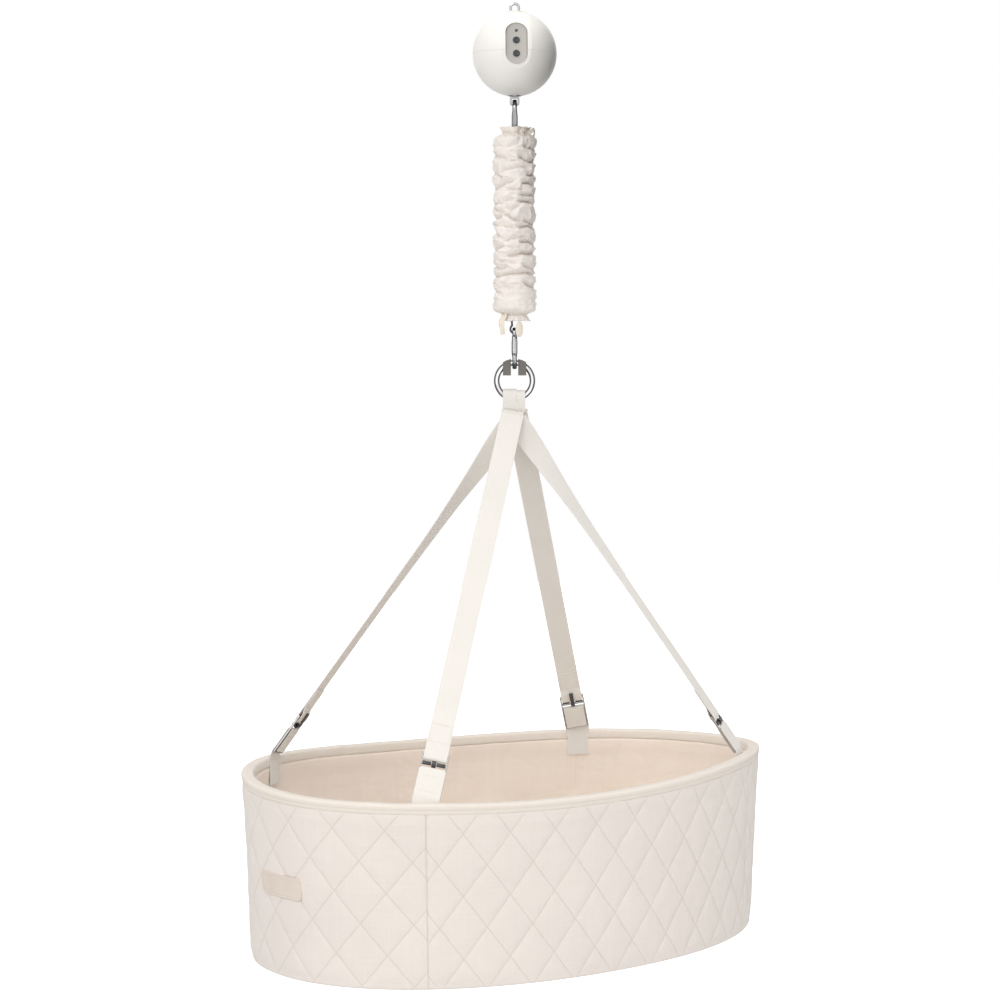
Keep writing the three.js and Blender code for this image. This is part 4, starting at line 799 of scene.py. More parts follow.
def half_ball(name, sign):
    """One half of the shell, cut level at the seam, with its outer edge drawn in a little."""
    obj = piece(name, grid(to_recess(ball_rows()), True, True), ball_plastic, None, sharp=0)
    work = bmesh.new()
    work.from_mesh(obj.data)
    bmesh.ops.remove_doubles(work, verts=work.verts, dist=0.00002)
    seam = -BALL_DROP * MM
    for gap, last in ((1.0, False), (0.3, False), (0.07, True)):
        cut = bmesh.ops.bisect_plane(work, geom=work.verts[:] + work.edges[:] + work.faces[:], dist=1e-6,
                                     plane_co=(0, 0, seam + sign * gap * MM), plane_no=(0, 0, sign),
                                     clear_inner=last)
    bmesh.ops.edgeloop_fill(work, edges=[e for e in cut["geom_cut"] if isinstance(e, bmesh.types.BMEdge)])
    for v in work.verts:
        flat = math.hypot(v.co.x, v.co.y)
        if abs(v.co.z - seam) < 0.0002 and flat > (BALL_RADIUS - 1.2) * MM:
            v.co.x *= 1 - 0.00012 / flat
            v.co.y *= 1 - 0.00012 / flat
    bmesh.ops.recalc_face_normals(work, faces=work.faces)
    work.to_mesh(obj.data)
    work.free()
    return obj


def bored(obj, *tools):
    """Cuts holes in a piece."""
    for tool in tools:
        cutter = piece(obj.name + "_cutter", tool, ball_plastic, None, sharp=0)
        cut = obj.modifiers.new("bore", "BOOLEAN")
        cut.operation = "DIFFERENCE"
        cut.solver = "EXACT"
        cut.object = cutter
        bpy.context.view_layer.update()
        seen = obj.evaluated_get(bpy.context.evaluated_depsgraph_get())
        flat = bpy.data.meshes.new_from_object(seen)
        obj.modifiers.clear()
        obj.data = flat
        bpy.data.objects.remove(cutter)
    obj.data.shade_smooth()
    obj.data.set_sharp_from_angle(angle=math.radians(32))


def plug(radius, low, high, rounds=64):
    return lathe([(0.01, low), (radius, low), (radius, high), (0.01, high)], rounds)


def make_ball():
    """Two shells, bored for the eye's stem and slot above and for the lift rod below."""
    slot = [[(x, y, z) for x, y in round_section(7.9, 2.4, 32, 0.5)] for z in (-24.0, 2.0)]
    slot = moved(grid(slot, False, True, True), turn=HANG_TURN)
    halves = (("upper", 1, [plug(4.5, -30, 2, 48), slot]), ("lower", -1, [plug(9.3, -135, -115)]))
    for half, sign, tools in halves:
        shell = half_ball("ball_%s_shell" % half, sign)
        bored(shell, *tools)
        dress(shell, "housing", [half + "_shell"])
    flange = lathe([(8.6, -10.6), (12.4, -10.9), (12.9, -10.3), (12.5, -9.6), (9.2, -8.7), (8.6, -8.9)], 72)
    piece("eye_collar", flange, ball_plastic, "housing", ())


def make_panel():
    """The recess floor with a dished edge and holes, then rings, buttons and lens."""
    _, side, reach = recess_rays(120, 0.6)
    outline = ((0.0, PANEL_BACK), (0.0, 49.6), (0.5, 50.05), (1.2, 50.15), (2.2, 49.9), (3.6, PANEL_FACE))
    rows = [side * np.maximum(reach - inset, 0.5) + OUTWARDS * out for inset, out in outline]
    rows += [side * (reach - 3.6) * share + OUTWARDS * PANEL_FACE for share in (0.66, 0.33, 0.02)]
    rows += [side * reach * share + OUTWARDS * PANEL_BACK for share in (0.02, 0.5)]
    floor = piece("recess_floor", grid(to_recess(rows), True, True), panel_plastic, None, sharp=0)
    holes = []
    for spot, radius in ((START_SPOT, 4.9), (SPEED_SPOT, 4.9), (LENS_SPOT, 2.2)):
        ring = arc(radius, circle(56), spot)
        holes.append(grid(to_recess([ring + OUTWARDS * out for out in (40, 56)]), False, True, True))
    bored(floor, *holes)
    dress(floor, "housing", ["control_panel"])
    surround = [(4.95, 49.3), (5.9, 49.3), (5.9, 50.1), (5.5, 50.5), (4.95, 50.3)]
    rings = [recess_lathe(surround, spot) for spot in (START_SPOT, SPEED_SPOT)]
    piece("button_surrounds", rings, panel_plastic, "housing", ())
    push = [(0.01, 45.6), (5.9, 45.6), (6.2, 45.9), (6.2, 46.5), (4.6, 46.7), (4.6, 50.5),
            (4.35, 51.0), (3.8, 51.2), (2.6, 51.0), (0.01, 50.8)]
    for name, spot in (("start", START_SPOT), ("speed", SPEED_SPOT)):
        node = name + "_button"
        piece(name + "_push", recess_lathe(push, spot), button_rubber, node, [node])
    lens = [(0.01, PANEL_BACK), (1.9, PANEL_BACK), (1.9, 50.0), (1.5, 50.35), (0.8, 50.55), (0.01, 50.6)]
    piece("signal_window", recess_lathe(lens, LENS_SPOT), lens_plastic, "housing", ["signal_lens"])


# Hooks
def hook_path():
    """The middle line of a snap hook in Y and Z, bow up, from one side of the gate round."""
    reach = HOOK_LENGTH - HOOK_BOW - HOOK_EYE
    lean = math.asin((HOOK_BOW - HOOK_EYE) / reach)
    top = arc(HOOK_BOW - HOOK_WIRE / 2, np.linspace(-lean, PI + lean, 60), -HOOK_BOW)
    low = arc(HOOK_EYE - HOOK_WIRE / 2, np.linspace(PI + lean, 2 * PI - lean, 40), HOOK_EYE - HOOK_LENGTH)
    return np.concatenate([top, low, top[:1]])[:, [1, 0, 2]]


def between_drops(path, low, high, keep):
    """The stretch of the closed hook path on its +Y side between two drops, or the rest."""
    s = distances(path)
    p = np.stack([np.interp(np.arange(0, s[-1], 0.5), s, path[:, k]) for k in range(3)], -1)
    index = np.where((p[:, 1] > 0) & (-p[:, 2] > low) & (-p[:, 2] < high))[0]
    if keep:
        return p[index.min():index.max() + 1]
    return np.roll(p, -(index.max() + 1), 0)[:len(p) - len(index)]


def hook_bar(path, fat):
    """Forged bar with a rounded section, wider at its waist and tapered at its ends."""
    across, out = path_frames(path, (1, 0, 0))
    section = round_section(HOOK_WIRE / 2 * 0.98, HOOK_THICKNESS / 2, 18, 0.7)
    steps = np.arange(len(path))
    taper = (0.75 + 0.25 * np.sqrt(np.clip(np.minimum(steps, steps[::-1]) / 3.0, 0, 1))) * fat
    drop = -path[:, 2]
    waist = smoothstep((drop - 14) / 12) * smoothstep((HOOK_LENGTH - 12 - drop) / 10)
    return sweep(path, across, out, section, np.stack([taper, taper * (1 + 0.34 * waist)], -1))


def make_hook(prefix, top, flip=False):
    """A snap hook's body, and its gate with a rivet head on each side."""
    path = hook_path()
    low, high = (HOOK_LENGTH * share for share in GATE_SHARES)
    gate_path = between_drops(path, low + GATE_GAP, high - GATE_GAP, True)
    body, gate = hook_bar(between_drops(path, low, high, False), 1.0), [hook_bar(gate_path, 0.96)]
    foot = min(gate_path[0], gate_path[-1], key=lambda place: place[2])
    dome = ((0.01, -1.0), (1.5, -1.0), (1.5, 0.15), (1.1, 0.5), (0.01, 0.65))
    for side in (-1, 1):
        rivet = lathe([(radius, side * (HOOK_THICKNESS / 2 + rise)) for radius, rise in dome], 24)
        y, z, x = rivet["points"].T
        rivet["points"] = np.stack([x, y + foot[1] - 0.2, z + foot[2] + 1.4], -1)
        gate.append(rivet)
    for part in [body] + gate:
        if flip:
            part["points"] = part["points"] * [1, -1, -1] - [0, 0, HOOK_LENGTH]
        moved(part, (0, 0, top))
    hook = prefix + "_hook"
    piece(hook + "_body", body, hook_steel, hook, [hook], hung=True)
    piece(hook + "_gate_bar", gate, hook_steel, prefix + "_gate", [hook + "_gate"],
          hung=True)


# Spring and sleeve
def make_spring():
    """One wire: the top loop, a lead, the coil, a lead and the bottom loop."""
    t = np.linspace(-0.3 * PI, 1.3 * PI, 40)
    top, low = arc(SPRING_LOOP, t, SPRING_TOP_LOOP), arc(SPRING_LOOP, -t[::-1], SPRING_BOTTOM_LOOP)
    turn = PI + 2 * PI * np.linspace(0, SPRING_CURLS, SPRING_CURLS * 20)
    drop = np.linspace(*SPRING_COIL, len(turn))
    coil = np.stack([SPRING_RADIUS * np.cos(turn), SPRING_RADIUS * np.sin(turn), drop], -1)
    upper, lower = (-SPRING_LOOP, 0, SPRING_COIL[0] + 7.6), (-SPRING_LOOP, 0, SPRING_COIL[1] - 7.6)
    lead_in = curve_through([top[-1], upper, coil[0], coil[3]], 16)[:12]
    lead_out = curve_through([coil[-4], coil[-1], lower, low[0]], 16)[5:]
    path = np.concatenate([top[:-1], lead_in[1:], coil[1:-1], lead_out[:-1], low])
    obj = piece("coil_spring", tube(path, SPRING_WIRE), spring_steel, None, ["spring"], 60,
                hung=True)
    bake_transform(obj)


# Folds of the gathered sleeve: side angle from the front and drop in mm at each end,
# then depth and half width
FOLDS = (
    (28, 29, 100, 34, 4.6, 3.2), (12, 45, 100, 50, 5.0, 3.0), (-44, 65, 52, 60, 3.6, 2.6),
    (-112, 93, 4, 76, 5.6, 3.4), (24, 80, 108, 87, 4.8, 2.8), (20, 97, 104, 104, 4.2, 2.6),
    (-98, 110, 2, 104, 3.8, 2.8), (12, 108, 104, 116, 6.2, 3.0), (-100, 113, 44, 138, 4.6, 2.8),
    (26, 134, 114, 141, 5.8, 2.8), (10, 142, 104, 150, 5.4, 2.8), (-56, 161, 36, 155, 3.8, 2.6),
    (16, 164, 104, 171, 6.0, 2.8), (-40, 186, 108, 180, 6.4, 3.2), (24, 198, 104, 204, 4.8, 2.8),
    (-118, 216, 112, 211, 5.4, 2.6), (26, 221, 108, 230, 6.2, 3.0), (-110, 40, -20, 47, 4.2, 3.0),
    (-106, 66, -38, 74, 4.0, 2.8), (-112, 132, -34, 127, 4.4, 3.0), (-108, 150, -48, 158, 4.6, 3.0),
    (-112, 178, -30, 171, 4.8, 3.2), (-106, 197, -18, 201, 4.2, 2.8), (-104, 236, -36, 243, 3.6, 3.0),
    (-60, 28, 20, 24, 3.0, 3.0), (-20, 92, 34, 90, 3.2, 2.4), (-66, 228, 16, 234, 2.6, 3.4),
    (-30, 118, 24, 112, 2.8, 2.2), (-84, 142, 6, 146, 3.4, 2.4), (-24, 170, 22, 174, 2.8, 2.2),
    (-62, 190, 6, 194, 3.0, 2.4), (-46, 52, 10, 50, 2.6, 2.2), (40, 70, 110, 64, 4.4, 2.8),
)


def fold_depth(down, around):
    """Valleys between the puffs, from the list in front and a running pattern behind."""
    total = np.zeros_like(down)
    jog = 1.7 * wander(around / 26, down / 16, 0, 29) + 0.8 * wander(around / 9, down / 8, 0, 19)
    for index, (start, start_drop, end, end_drop, deep, half) in enumerate(FOLDS):
        across = np.clip((around - start) / (end - start), -0.5, 1.5)
        sag = 3.2 * math.sin(2.4 * index) * np.sin(PI * np.clip(across, 0, 1))
        off = down + jog - (start_drop + (end_drop - start_drop) * across + sag)
        reach = smoothstep((across + 0.12) / 0.34) * smoothstep((1.12 - across) / 0.34)
        width = np.where(off > 0, half * 0.55, half * 1.35)
        total = np.maximum(total, deep * reach * np.exp(-np.abs(off / width) ** 1.25))
    slow, quick = wander(around / 60, down / 40, 0, 3), wander(around / 22, down / 22, 0, 7)
    valley = np.exp(-np.abs(np.sin(PI * (down / 17.0 + 0.5 * slow + 0.3 * quick))) / 0.22)
    behind = smoothstep((np.abs(around) - 88) / 30) * (0.75 + 0.4 * wander(around / 30, down / 18, 0, 11))
    return np.maximum(total, 5.2 * behind * valley)


def sleeve_radius(down, turn, end):
    """The sleeve's radius: scrunched puffs, smaller creases, and pleats at the necks."""
    c, s = np.cos(turn), np.sin(turn)
    around = (np.degrees(turn) + 90 + 180) % 360 - 180
    radius = PUFF_RADIUS - 1.75 * fold_depth(down, around)
    ridge = 1 - np.abs(wander(around / 34, down / 7.5, 0, 23))
    radius = radius + 2.3 * (ridge ** 3 - 0.45) + 1.0 * wander(2.2 * c, 2.2 * s, down / 30, 37)
    radius = np.clip(radius + 0.4 * wander(around / 8, down / 3.4, 0, 31), 18.5, 33.0)
    pleat = np.abs(np.sin(13 * turn + 2.2 * wander(1.5 * c, 1.5 * s, down / 30, 41))) ** 0.8
    neck = NECK_RADIUS + 1.2 * pleat
    near = np.exp(-((end - NECK_LENGTH) / 11.0) ** 2)
    ease = smoothstep((end - NECK_LENGTH - NECK_BAND) / 9.0)
    puffed = neck + (radius - neck) * ease + 1.6 * near * (pleat - 0.5)
    flare = np.clip(1 - end / (NECK_LENGTH - NECK_BAND), 0, 1)
    frill = np.cos(5 * turn + 0.6) * 0.55 + 0.45 * np.sin(9 * turn + 1.2 + wander(c, s, 0, 5))
    hem = neck + 4.4 * flare ** 0.9 + flare * (2.6 * frill + 0.5 * wander(4 * c, 4 * s, down / 5, 47))
    tied = np.where(end < NECK_LENGTH - NECK_BAND, hem, neck)
    return np.where(end > NECK_LENGTH + NECK_BAND, puffed, tied)


def make_sleeve():
    """The gathered sleeve, its cloth turned in at both hems."""
    start, stop = NECK_LENGTH - NECK_BAND, NECK_LENGTH + NECK_BAND
    near = np.concatenate([np.linspace(0, start, 9)[:-1], np.linspace(start, stop, 4)])
    middle = np.linspace(stop, SLEEVE_LENGTH - stop, 360)[1:-1]
    downs = np.concatenate([near, middle, (SLEEVE_LENGTH - near)[::-1]])
    down, turn = np.meshgrid(downs, circle(168), indexing="ij")
    end = np.minimum(down, SLEEVE_LENGTH - down)
    sign = np.where(down < SLEEVE_LENGTH / 2, 1.0, -1.0)
    wave = 0.81 * np.clip(1 - end / start, 0, 1) * np.abs(np.cos(5 * turn + 1.8))
    droop = 4.2 * np.exp(-((end - 17.0) / 5.0) ** 2)
    z = -SLEEVE_TOP - down + (droop - wave) * sign
    calm = 1.1 * smoothstep((end - 12) / 25)
    sway_x, sway_y = (calm * wander(down / 45, place, 0, seed) for place, seed in ((0.5, 51), (4.5, 53)))
    radius = sleeve_radius(down, turn, end)
    outer, inner = (np.stack([r * np.cos(turn) + sway_x, r * np.sin(turn) + sway_y, z], -1)
                    for r in (radius, radius - 1.0))
    part = grid(np.concatenate([outer, inner[::-1]]), True, True)
    obj = piece("gathered_sleeve", part, sleeve_cotton, None, ["sleeve"], 0, True)
    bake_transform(obj)
    return obj


def cord_ring(drop):
    """A twisted drawstring pulled tight round a neck."""
    t = circle(150)
    radius = TIE_RADIUS + 0.25 * np.cos(13 * t)
    path = np.stack([radius * np.cos(t), radius * np.sin(t), -drop + 0.3 * np.sin(5 * t)], -1)
    across, out = path_frames(path, (0, 0, 1), True)
    x, y = (round_section(1.15, 1.15, 12) * (1 + 0.16 * np.cos(3 * circle(12)))[:, None]).T
    spin = 0.42 * np.arange(len(path))[:, None]
    section = np.stack([x * np.cos(spin) - y * np.sin(spin), x * np.sin(spin) + y * np.cos(spin)], -1)
    return sweep(path, across, out, section, None, True)


def band(knots, width, thickness, normal, steps, twist=0.0, taper=((0, 1), (1, 1))):
    """A flat ribbon through knots, cupped a little across."""
    path = curve_through(knots, steps)
    across, out = path_frames(path, normal)
    a = np.linspace(0, twist, steps)[:, None]
    across, out = across * np.cos(a) + out * np.sin(a), out * np.cos(a) - across * np.sin(a)
    flat = np.linspace(-1, 1, 9)
    cup = 0.25 * (1 - flat ** 2)
    top, low = (np.stack([flat * width / 2, cup + lift], -1) for lift in (thickness / 2, -thickness / 2))
    scale = np.stack([np.interp(np.linspace(0, 1, steps), *taper), np.ones(steps)], -1)
    return sweep(path, across, out, np.concatenate([top, low[::-1]]), scale)


def make_bow():
    """The cord and ribbon bow round the sleeve's upper neck."""
    drop, x = SLEEVE_TOP + NECK_LENGTH, 22.5
    bow = []
    for side in (-1, 1):
        loop = [(x - 2, 0, 0), (x + 2.5, side * 5, 3.5), (x + 3.5, side * 11, 6.5),
                (x + 2.2, side * 14.5, 2.0), (x + 2.4, side * 10.5, -4.0), (x + 1.6, side * 5, -2.6),
                (x - 1.5, 0, 0)]
        tail = [(x - 1, 0, 0), (x + 1.5, side * 3, -3), (x + 1.5, side * 5.5, -8), (x + 2.2, side * 6.5, -14)]
        bow.append(band(loop, 5.6, 0.4, (1, 0, 0.2), 60))
        bow.append(band(tail, 4.4, 0.4, (1, 0, 0), 30, side * 0.6))
    knot = [(0.01, -2.2), (1.5, -2.0), (2.3, -0.9), (2.4, 0.4), (1.7, 1.9), (0.01, 2.3)]
    bow.append(lathe(knot, 20, (x, 0, 0)))
    parts = [cord_ring(drop)] + [moved(part, (0, 0, -drop), -0.7) for part in bow]
    return piece("sleeve_bow", parts, ribbon_cotton, "upper_hook", ["sleeve_top_tie"], hung=True)


def make_drawstring():
    """The cord round the sleeve's lower neck, with two hanging tails."""
    drop = SLEEVE_BOTTOM - NECK_LENGTH
    tails = []
    for shift, lower, spin in ((0.0, 0.0, 0.9), (2.6, 6.0, -0.7)):
        knots = [(-18.0, shift * 0.4, -1.0), (-24.0, shift, -4.0), (-28.0, shift * 1.4, -10.5),
                 (-29.0, shift * 1.2, -18.0), (-27.2 + shift * 0.5, shift, -30.0 + lower)]
        tails.append(band(knots, 6.6, 0.5, (-1, 0, 0.3), 44, spin, ((0, 0.2, 1), (0.45, 1, 1.0))))
    knot = [(0.01, -1.9), (1.6, -1.6), (2.1, 0), (1.5, 1.6), (0.01, 1.9)]
    tails.append(lathe(knot, 20, (-20.0, 0.3, -1.0)))
    parts = [cord_ring(drop)] + [moved(part, (0, 0, -drop), 0.9) for part in tails]
    return piece("sleeve_drawstring", parts, ribbon_cotton, "sleeve_foot", ["sleeve_bottom_tie"],
                 hung=True)


def make_pull_tab():
    """The small stuffed tab sewn under the sleeve's foot."""
    down, around = np.meshgrid(np.linspace(0, PI, 26), circle(40), indexing="ij")
    c, s = np.cos(around), np.sin(around)
    puff = 1 + 0.05 * wander(3 * c, 3 * s, 3 * down, 61)
    x = 5.5 * signed_power(c, 0.85) * np.sin(down) ** 0.75 * puff
    y = 2.5 * signed_power(s, 1.15) * np.sin(down) ** 0.9 * puff
    part = grid(np.stack([x, y, 11 * np.cos(down)], -1), False, True, True)
    moved(part, (0, -20.9, -SLEEVE_BOTTOM - 0.3 - 11), PI / 10)
    return piece("sleeve_pull_tab", part, ribbon_cotton, "sleeve_foot", ["sleeve_tab"], 0, True)


# Ring and loops
def make_ring():
    part = tube(arc(RING_RADIUS, circle(120), RING_CENTER), RING_WIRE, 24, (0, 1, 0), True)
    piece("steel_ring", part, ring_steel, "ring", ["ring"], 60, True)


def webbing_section(width):
    """Flat webbing with slightly fuller edges."""
    flat = np.linspace(-1, 1, 15)
    edge = 1 + 0.25 * np.exp(-((1 - np.abs(flat)) / 0.08) ** 2)
    edge[0] = edge[-1] = 0.55
    top = np.stack([flat * width / 2, WEBBING_THICKNESS / 2 * edge], -1)
    return np.concatenate([top, top * [-1, -1]])


def make_ring_loop(side, width, middle):
    """Webbing folded round the ring, with two rows of stitches on each leg."""
    inner = RING_WIRE + 2.2
    radius = inner + WEBBING_THICKNESS / 2
    widest = abs(middle) + width / 2
    rise = RING_RADIUS - math.sqrt((RING_RADIUS - RING_WIRE) ** 2 - widest ** 2)
    low = STRAP_TOP + 0.5
    ring_foot = RING_CENTER - RING_RADIUS
    over = arc(radius, np.linspace(0, PI, 26), ring_foot + rise + 0.4 - inner)[:, [1, 0, 2]]
    shoulder = (0, radius * 0.93, ring_foot - RING_WIRE / 2 + 1)
    near = curve_through([(0, 2.2, low), (0, 3.6, low + 6), shoulder, over[0]], 20)
    path = np.concatenate([near[:-1], over, (near[::-1] * [1, -1, 1])[1:]])
    across = np.broadcast_to([1.0, 0.0, 0.0], path.shape)
    out = np.cross(unit(np.gradient(path, axis=0)), across)
    part = sweep(path + [middle, 0, 0], across, out, webbing_section(width))
    name, reach, rows = "ring_webbing_" + side, width / 2 - 1.6, []
    for face in (-1, 1):
        for height in (3.2, 5.4):
            y, z = face * (3.0 + height * 0.27), low + height
            line = [(middle - reach, y, z), (middle + reach, y, z)]
            rows.append(stitches(line, (0, face, 0), *LOOP_SEWING))
    piece(name, part, strap_webbing, "basket", ["ring_loop_" + side], hung=True)
    piece(name + "_stitching", rows, white_thread, "basket", (), hung=True)


# Basket walls
def rim_rise(turn):
    return 2.7 * np.cos(2 * turn) - 2.0 * np.cos(4 * turn) - 6.5 * np.sin(2 * turn)


def plan_out(turn):
    """The direction straight out of the wall, in plan."""
    exponent = 2 - 2 / CORNER_POWER
    return unit(np.stack([signed_power(np.cos(turn), exponent) / HALF_LENGTH,
                          signed_power(np.sin(turn), exponent) / HALF_WIDTH, 0 * turn], -1))


def wall(turn, height, depth):
    """A place on the wall: turn about the basket, height above its bottom, depth inwards."""
    turn, height, depth = np.broadcast_arrays(*(np.asarray(v, float) for v in (turn, height, depth)))
    share = height / BASKET_HEIGHT
    grow = BOTTOM_SHARE + (1 - BOTTOM_SHARE) * share
    exponent = 2 / CORNER_POWER
    x = HALF_LENGTH * grow * signed_power(np.cos(turn), exponent)
    y = HALF_WIDTH * grow * signed_power(np.sin(turn), exponent)
    z = BASKET_BOTTOM + height + rim_rise(turn) * share
    return np.stack([x, y, z], -1) + SHIFT - plan_out(turn) * depth[..., None]


SEAM_TURN = math.acos((SEAM_SPACING / 2 / HALF_LENGTH) ** (CORNER_POWER / 2))
SEAMS = (-SEAM_TURN, SEAM_TURN, PI - SEAM_TURN, PI + SEAM_TURN)
STRETCHES = {
    "right_end": (-SEAM_TURN, SEAM_TURN),
    "rear": (SEAM_TURN, PI - SEAM_TURN),
    "left_end": (PI - SEAM_TURN, PI + SEAM_TURN),
    "front": (PI + SEAM_TURN, 2 * PI - SEAM_TURN),
}
RIM_TURNS = np.linspace(-SEAM_TURN, 2 * PI - SEAM_TURN, 4001)
RIM_LENGTHS = distances(wall(RIM_TURNS, BASKET_HEIGHT, 0.0))
RIM_TOTAL = RIM_LENGTHS[-1]


def length_at(turn):
    return np.interp(turn, RIM_TURNS, RIM_LENGTHS)


def turn_at(length):
    return np.interp(length, RIM_LENGTHS, RIM_TURNS)


def even_turns(start, end, pitch):
    """Turns an even distance apart along the rim, and their lengths along it."""
    first, last = length_at([start, end])
    at = np.linspace(first, last, max(2, int(round((last - first) / pitch))) + 1)
    return turn_at(at), at


def ring_turns(pitch):
    turns, at = even_turns(-SEAM_TURN, 2 * PI - SEAM_TURN, pitch)
    return turns[:-1], at[:-1]


def once_round(turns):
    return np.append(turns, turns[0] + 2 * PI)


def quilt_relief(u, v, pattern):
    """How far the padding stands out of the stitch lines, from 0 to 1."""
    width, height, *phases = pattern
    spacing = width * height / math.hypot(width, height)
    offs = []
    for sign, phase in zip((1, -1), phases):
        line = u / width + sign * v / height - phase
        offs.append(np.abs(line - np.round(line)) * spacing + 30 * smoothstep((v - 236) / 12))
    full = (1 - np.exp(-offs[0] / 5.2)) * (1 - np.exp(-offs[1] / 5.2))
    pucker = np.exp(-np.minimum(*offs) / 6.0)
    gather = pucker * (0.2 * wander(u / 4.6, v / 4.6, 0, 71) + 0.22 * wander(u / 11, v / 9, 0, 72))
    soft = 0.16 * wander(u / 34, v / 34, 0, 73) + 0.12 * wander(u / 15 + v / 30, v / 12, 0, 74)
    seam = 1 - np.exp(-np.minimum(u - u[0], u[-1] - u) / 4.0)
    return (full + gather + soft) * seam


def make_quilt(side):
    """A padded wall: rolled under at its foot, quilted outside and flat behind."""
    turns, at = even_turns(*STRETCHES[side], 2.9)
    u = at - length_at(PI + SEAM_TURN)
    rolled = [(0.4, 6.6)]
    for a in np.linspace(PI / 2, 0, 6)[:-1]:
        rolled.append((5.0 - 4.6 * math.sin(a), 0.6 + 4.14 * (1 - math.cos(a))))
    rows = [wall(turns, h, d) for h, d in rolled]
    v = [h - 5 for h, _ in rolled]
    for h in np.linspace(5.0, 251.0, 84):
        slack = 0.5 * wander(u / 90, h / 70, 0, 77)
        tuck = smoothstep((h - 241.6) / 2.2) * 2.1 - smoothstep((h - 214) / 24) * 1.7
        calm = smoothstep((h - 5) / 14) * (1 - 0.75 * smoothstep((h - 226) / 14))
        relief = quilt_relief(u, h, PATTERNS[side])
        rows.append(wall(turns, h, 0.7 + tuck - calm * (1.9 * relief + slack)))
        v.append(h)
    for h, d in ((252.6, 2.4), (252.6, 3.9), (128.0, 3.9), (1.0, 3.9)):
        rows.append(wall(turns, h, d))
        v.append(300)
    uv = np.stack(np.meshgrid(u, v + v[:1]), -1) * MM
    obj = piece("quilted_wall_" + side, grid(rows, True, False, True, uv), quilts[side], "basket",
                ["quilt_" + side], 0)


def make_binding():
    """A folded strip over the rim, a little fuller on top, puckered along its sewn legs."""
    turns, at = ring_turns(2.6)
    middle, half, low, crown = 6.3, 8.7, BASKET_HEIGHT - 13, BASKET_HEIGHT + 0.9
    t = np.linspace(0, PI, 23)
    dome = np.stack([crown - 6.5 + 6.5 * signed_power(np.sin(t), 0.5),
                     middle - half * signed_power(np.cos(t), 0.5)], -1)
    outer = ((0, -1.05), (1.5, -1.35), (3.5, -1.7), (5.2, -1.95), (6.1, -1.75))
    inner = ((6.2, 15.0), (4.0, 14.8), (2.0, 14.6), (0.0, 14.1))
    outer, inner = ([(low + h, d) for h, d in leg] for leg in (outer, inner))
    rows = []
    for h, d in [*outer, *dome, *inner]:
        leg = max(0.0, 1 - (h - low) / 7)
        away = 1 if d > middle else -1
        plump = 0.35 * wander(at / 21, h / 9, away, 81) + 0.3 * wander(at / 70, away, 0, 83)
        pucker = 0.28 * leg * np.sin(at * 2 * PI / 5.1 + 2 * wander(at / 17, away, 0, 87))
        lift = 0.35 * wander(at / 33, 0.3, 0, 89) * (1 - leg)
        rows.append(wall(turns, h + lift, d + away * (plump * 0.7 + pucker)))
    top = PANEL_TOP - 0.6
    rows += [wall(turns, h, d) for h, d in ((low, 13.1), (top, 13.1), (top, -0.9), (low, -0.9))]
    obj = piece("rim_binding_cloth", grid(rows, True, True), binding_cotton, "basket", ["rim_binding"],
                0)
    edge = once_round(turns)
    for name, depth, height, sign, sewing in (("outer", -1.8, low + 6.2, 1, beige_thread),
                                              ("inner", 14.9, low + 3.2, -1, white_thread)):
        line = stitches(wall(edge, height, depth), plan_out(edge) * sign, *RIM_SEWING)
        piece("rim_stitching_" + name, line, sewing, "basket", ())


def make_foam():
    """The band of foam inside the wall."""
    turns, at = ring_turns(9.0)
    steps = np.arange(32) / 8
    heights = np.interp(steps, range(5), (251.5, 3.0, 3.0, 251.5, 251.5))
    depths = np.interp(steps, range(5), (4.6, 4.6, 10.0, 10.0, 4.6))
    rows = [wall(turns, h, d + 0.12 * wander(at / 30, h / 30, d, 91)) for h, d in zip(heights, depths)]
    obj = piece("wall_foam", grid(rows, True, True), core_foam, "basket", ["foam_wall"])


def flat_ring(turns, height, depth, shrink=1.0):
    """A level ring inside the wall, drawn towards the basket's middle."""
    p = SHIFT + (wall(turns, height, depth) - SHIFT) * [shrink, shrink, 1.0]
    p[..., 2] = BASKET_BOTTOM + height
    return p


def lining_depth(at, h):
    """Soft creases in the inner cloth, calm at the rim."""
    calm = smoothstep((252 - h) / 30) * smoothstep((h - 14) / 26)
    slow = 1.5 * wander(at / 85, h / 120, 0, 101)
    slant = np.abs(np.sin(PI * (at / 74 + 0.006 * h + 0.7 * wander(at / 120, h / 90, 0, 103))))
    fold = 2.4 * (slant ** 0.6 - 0.6) * np.clip(0.5 + wander(at / 100, h / 110, 0, 107), 0, 1)
    small = 0.4 * wander(at / 17, h / 26, 0, 109)
    return (slow + fold + small) * calm * 0.9


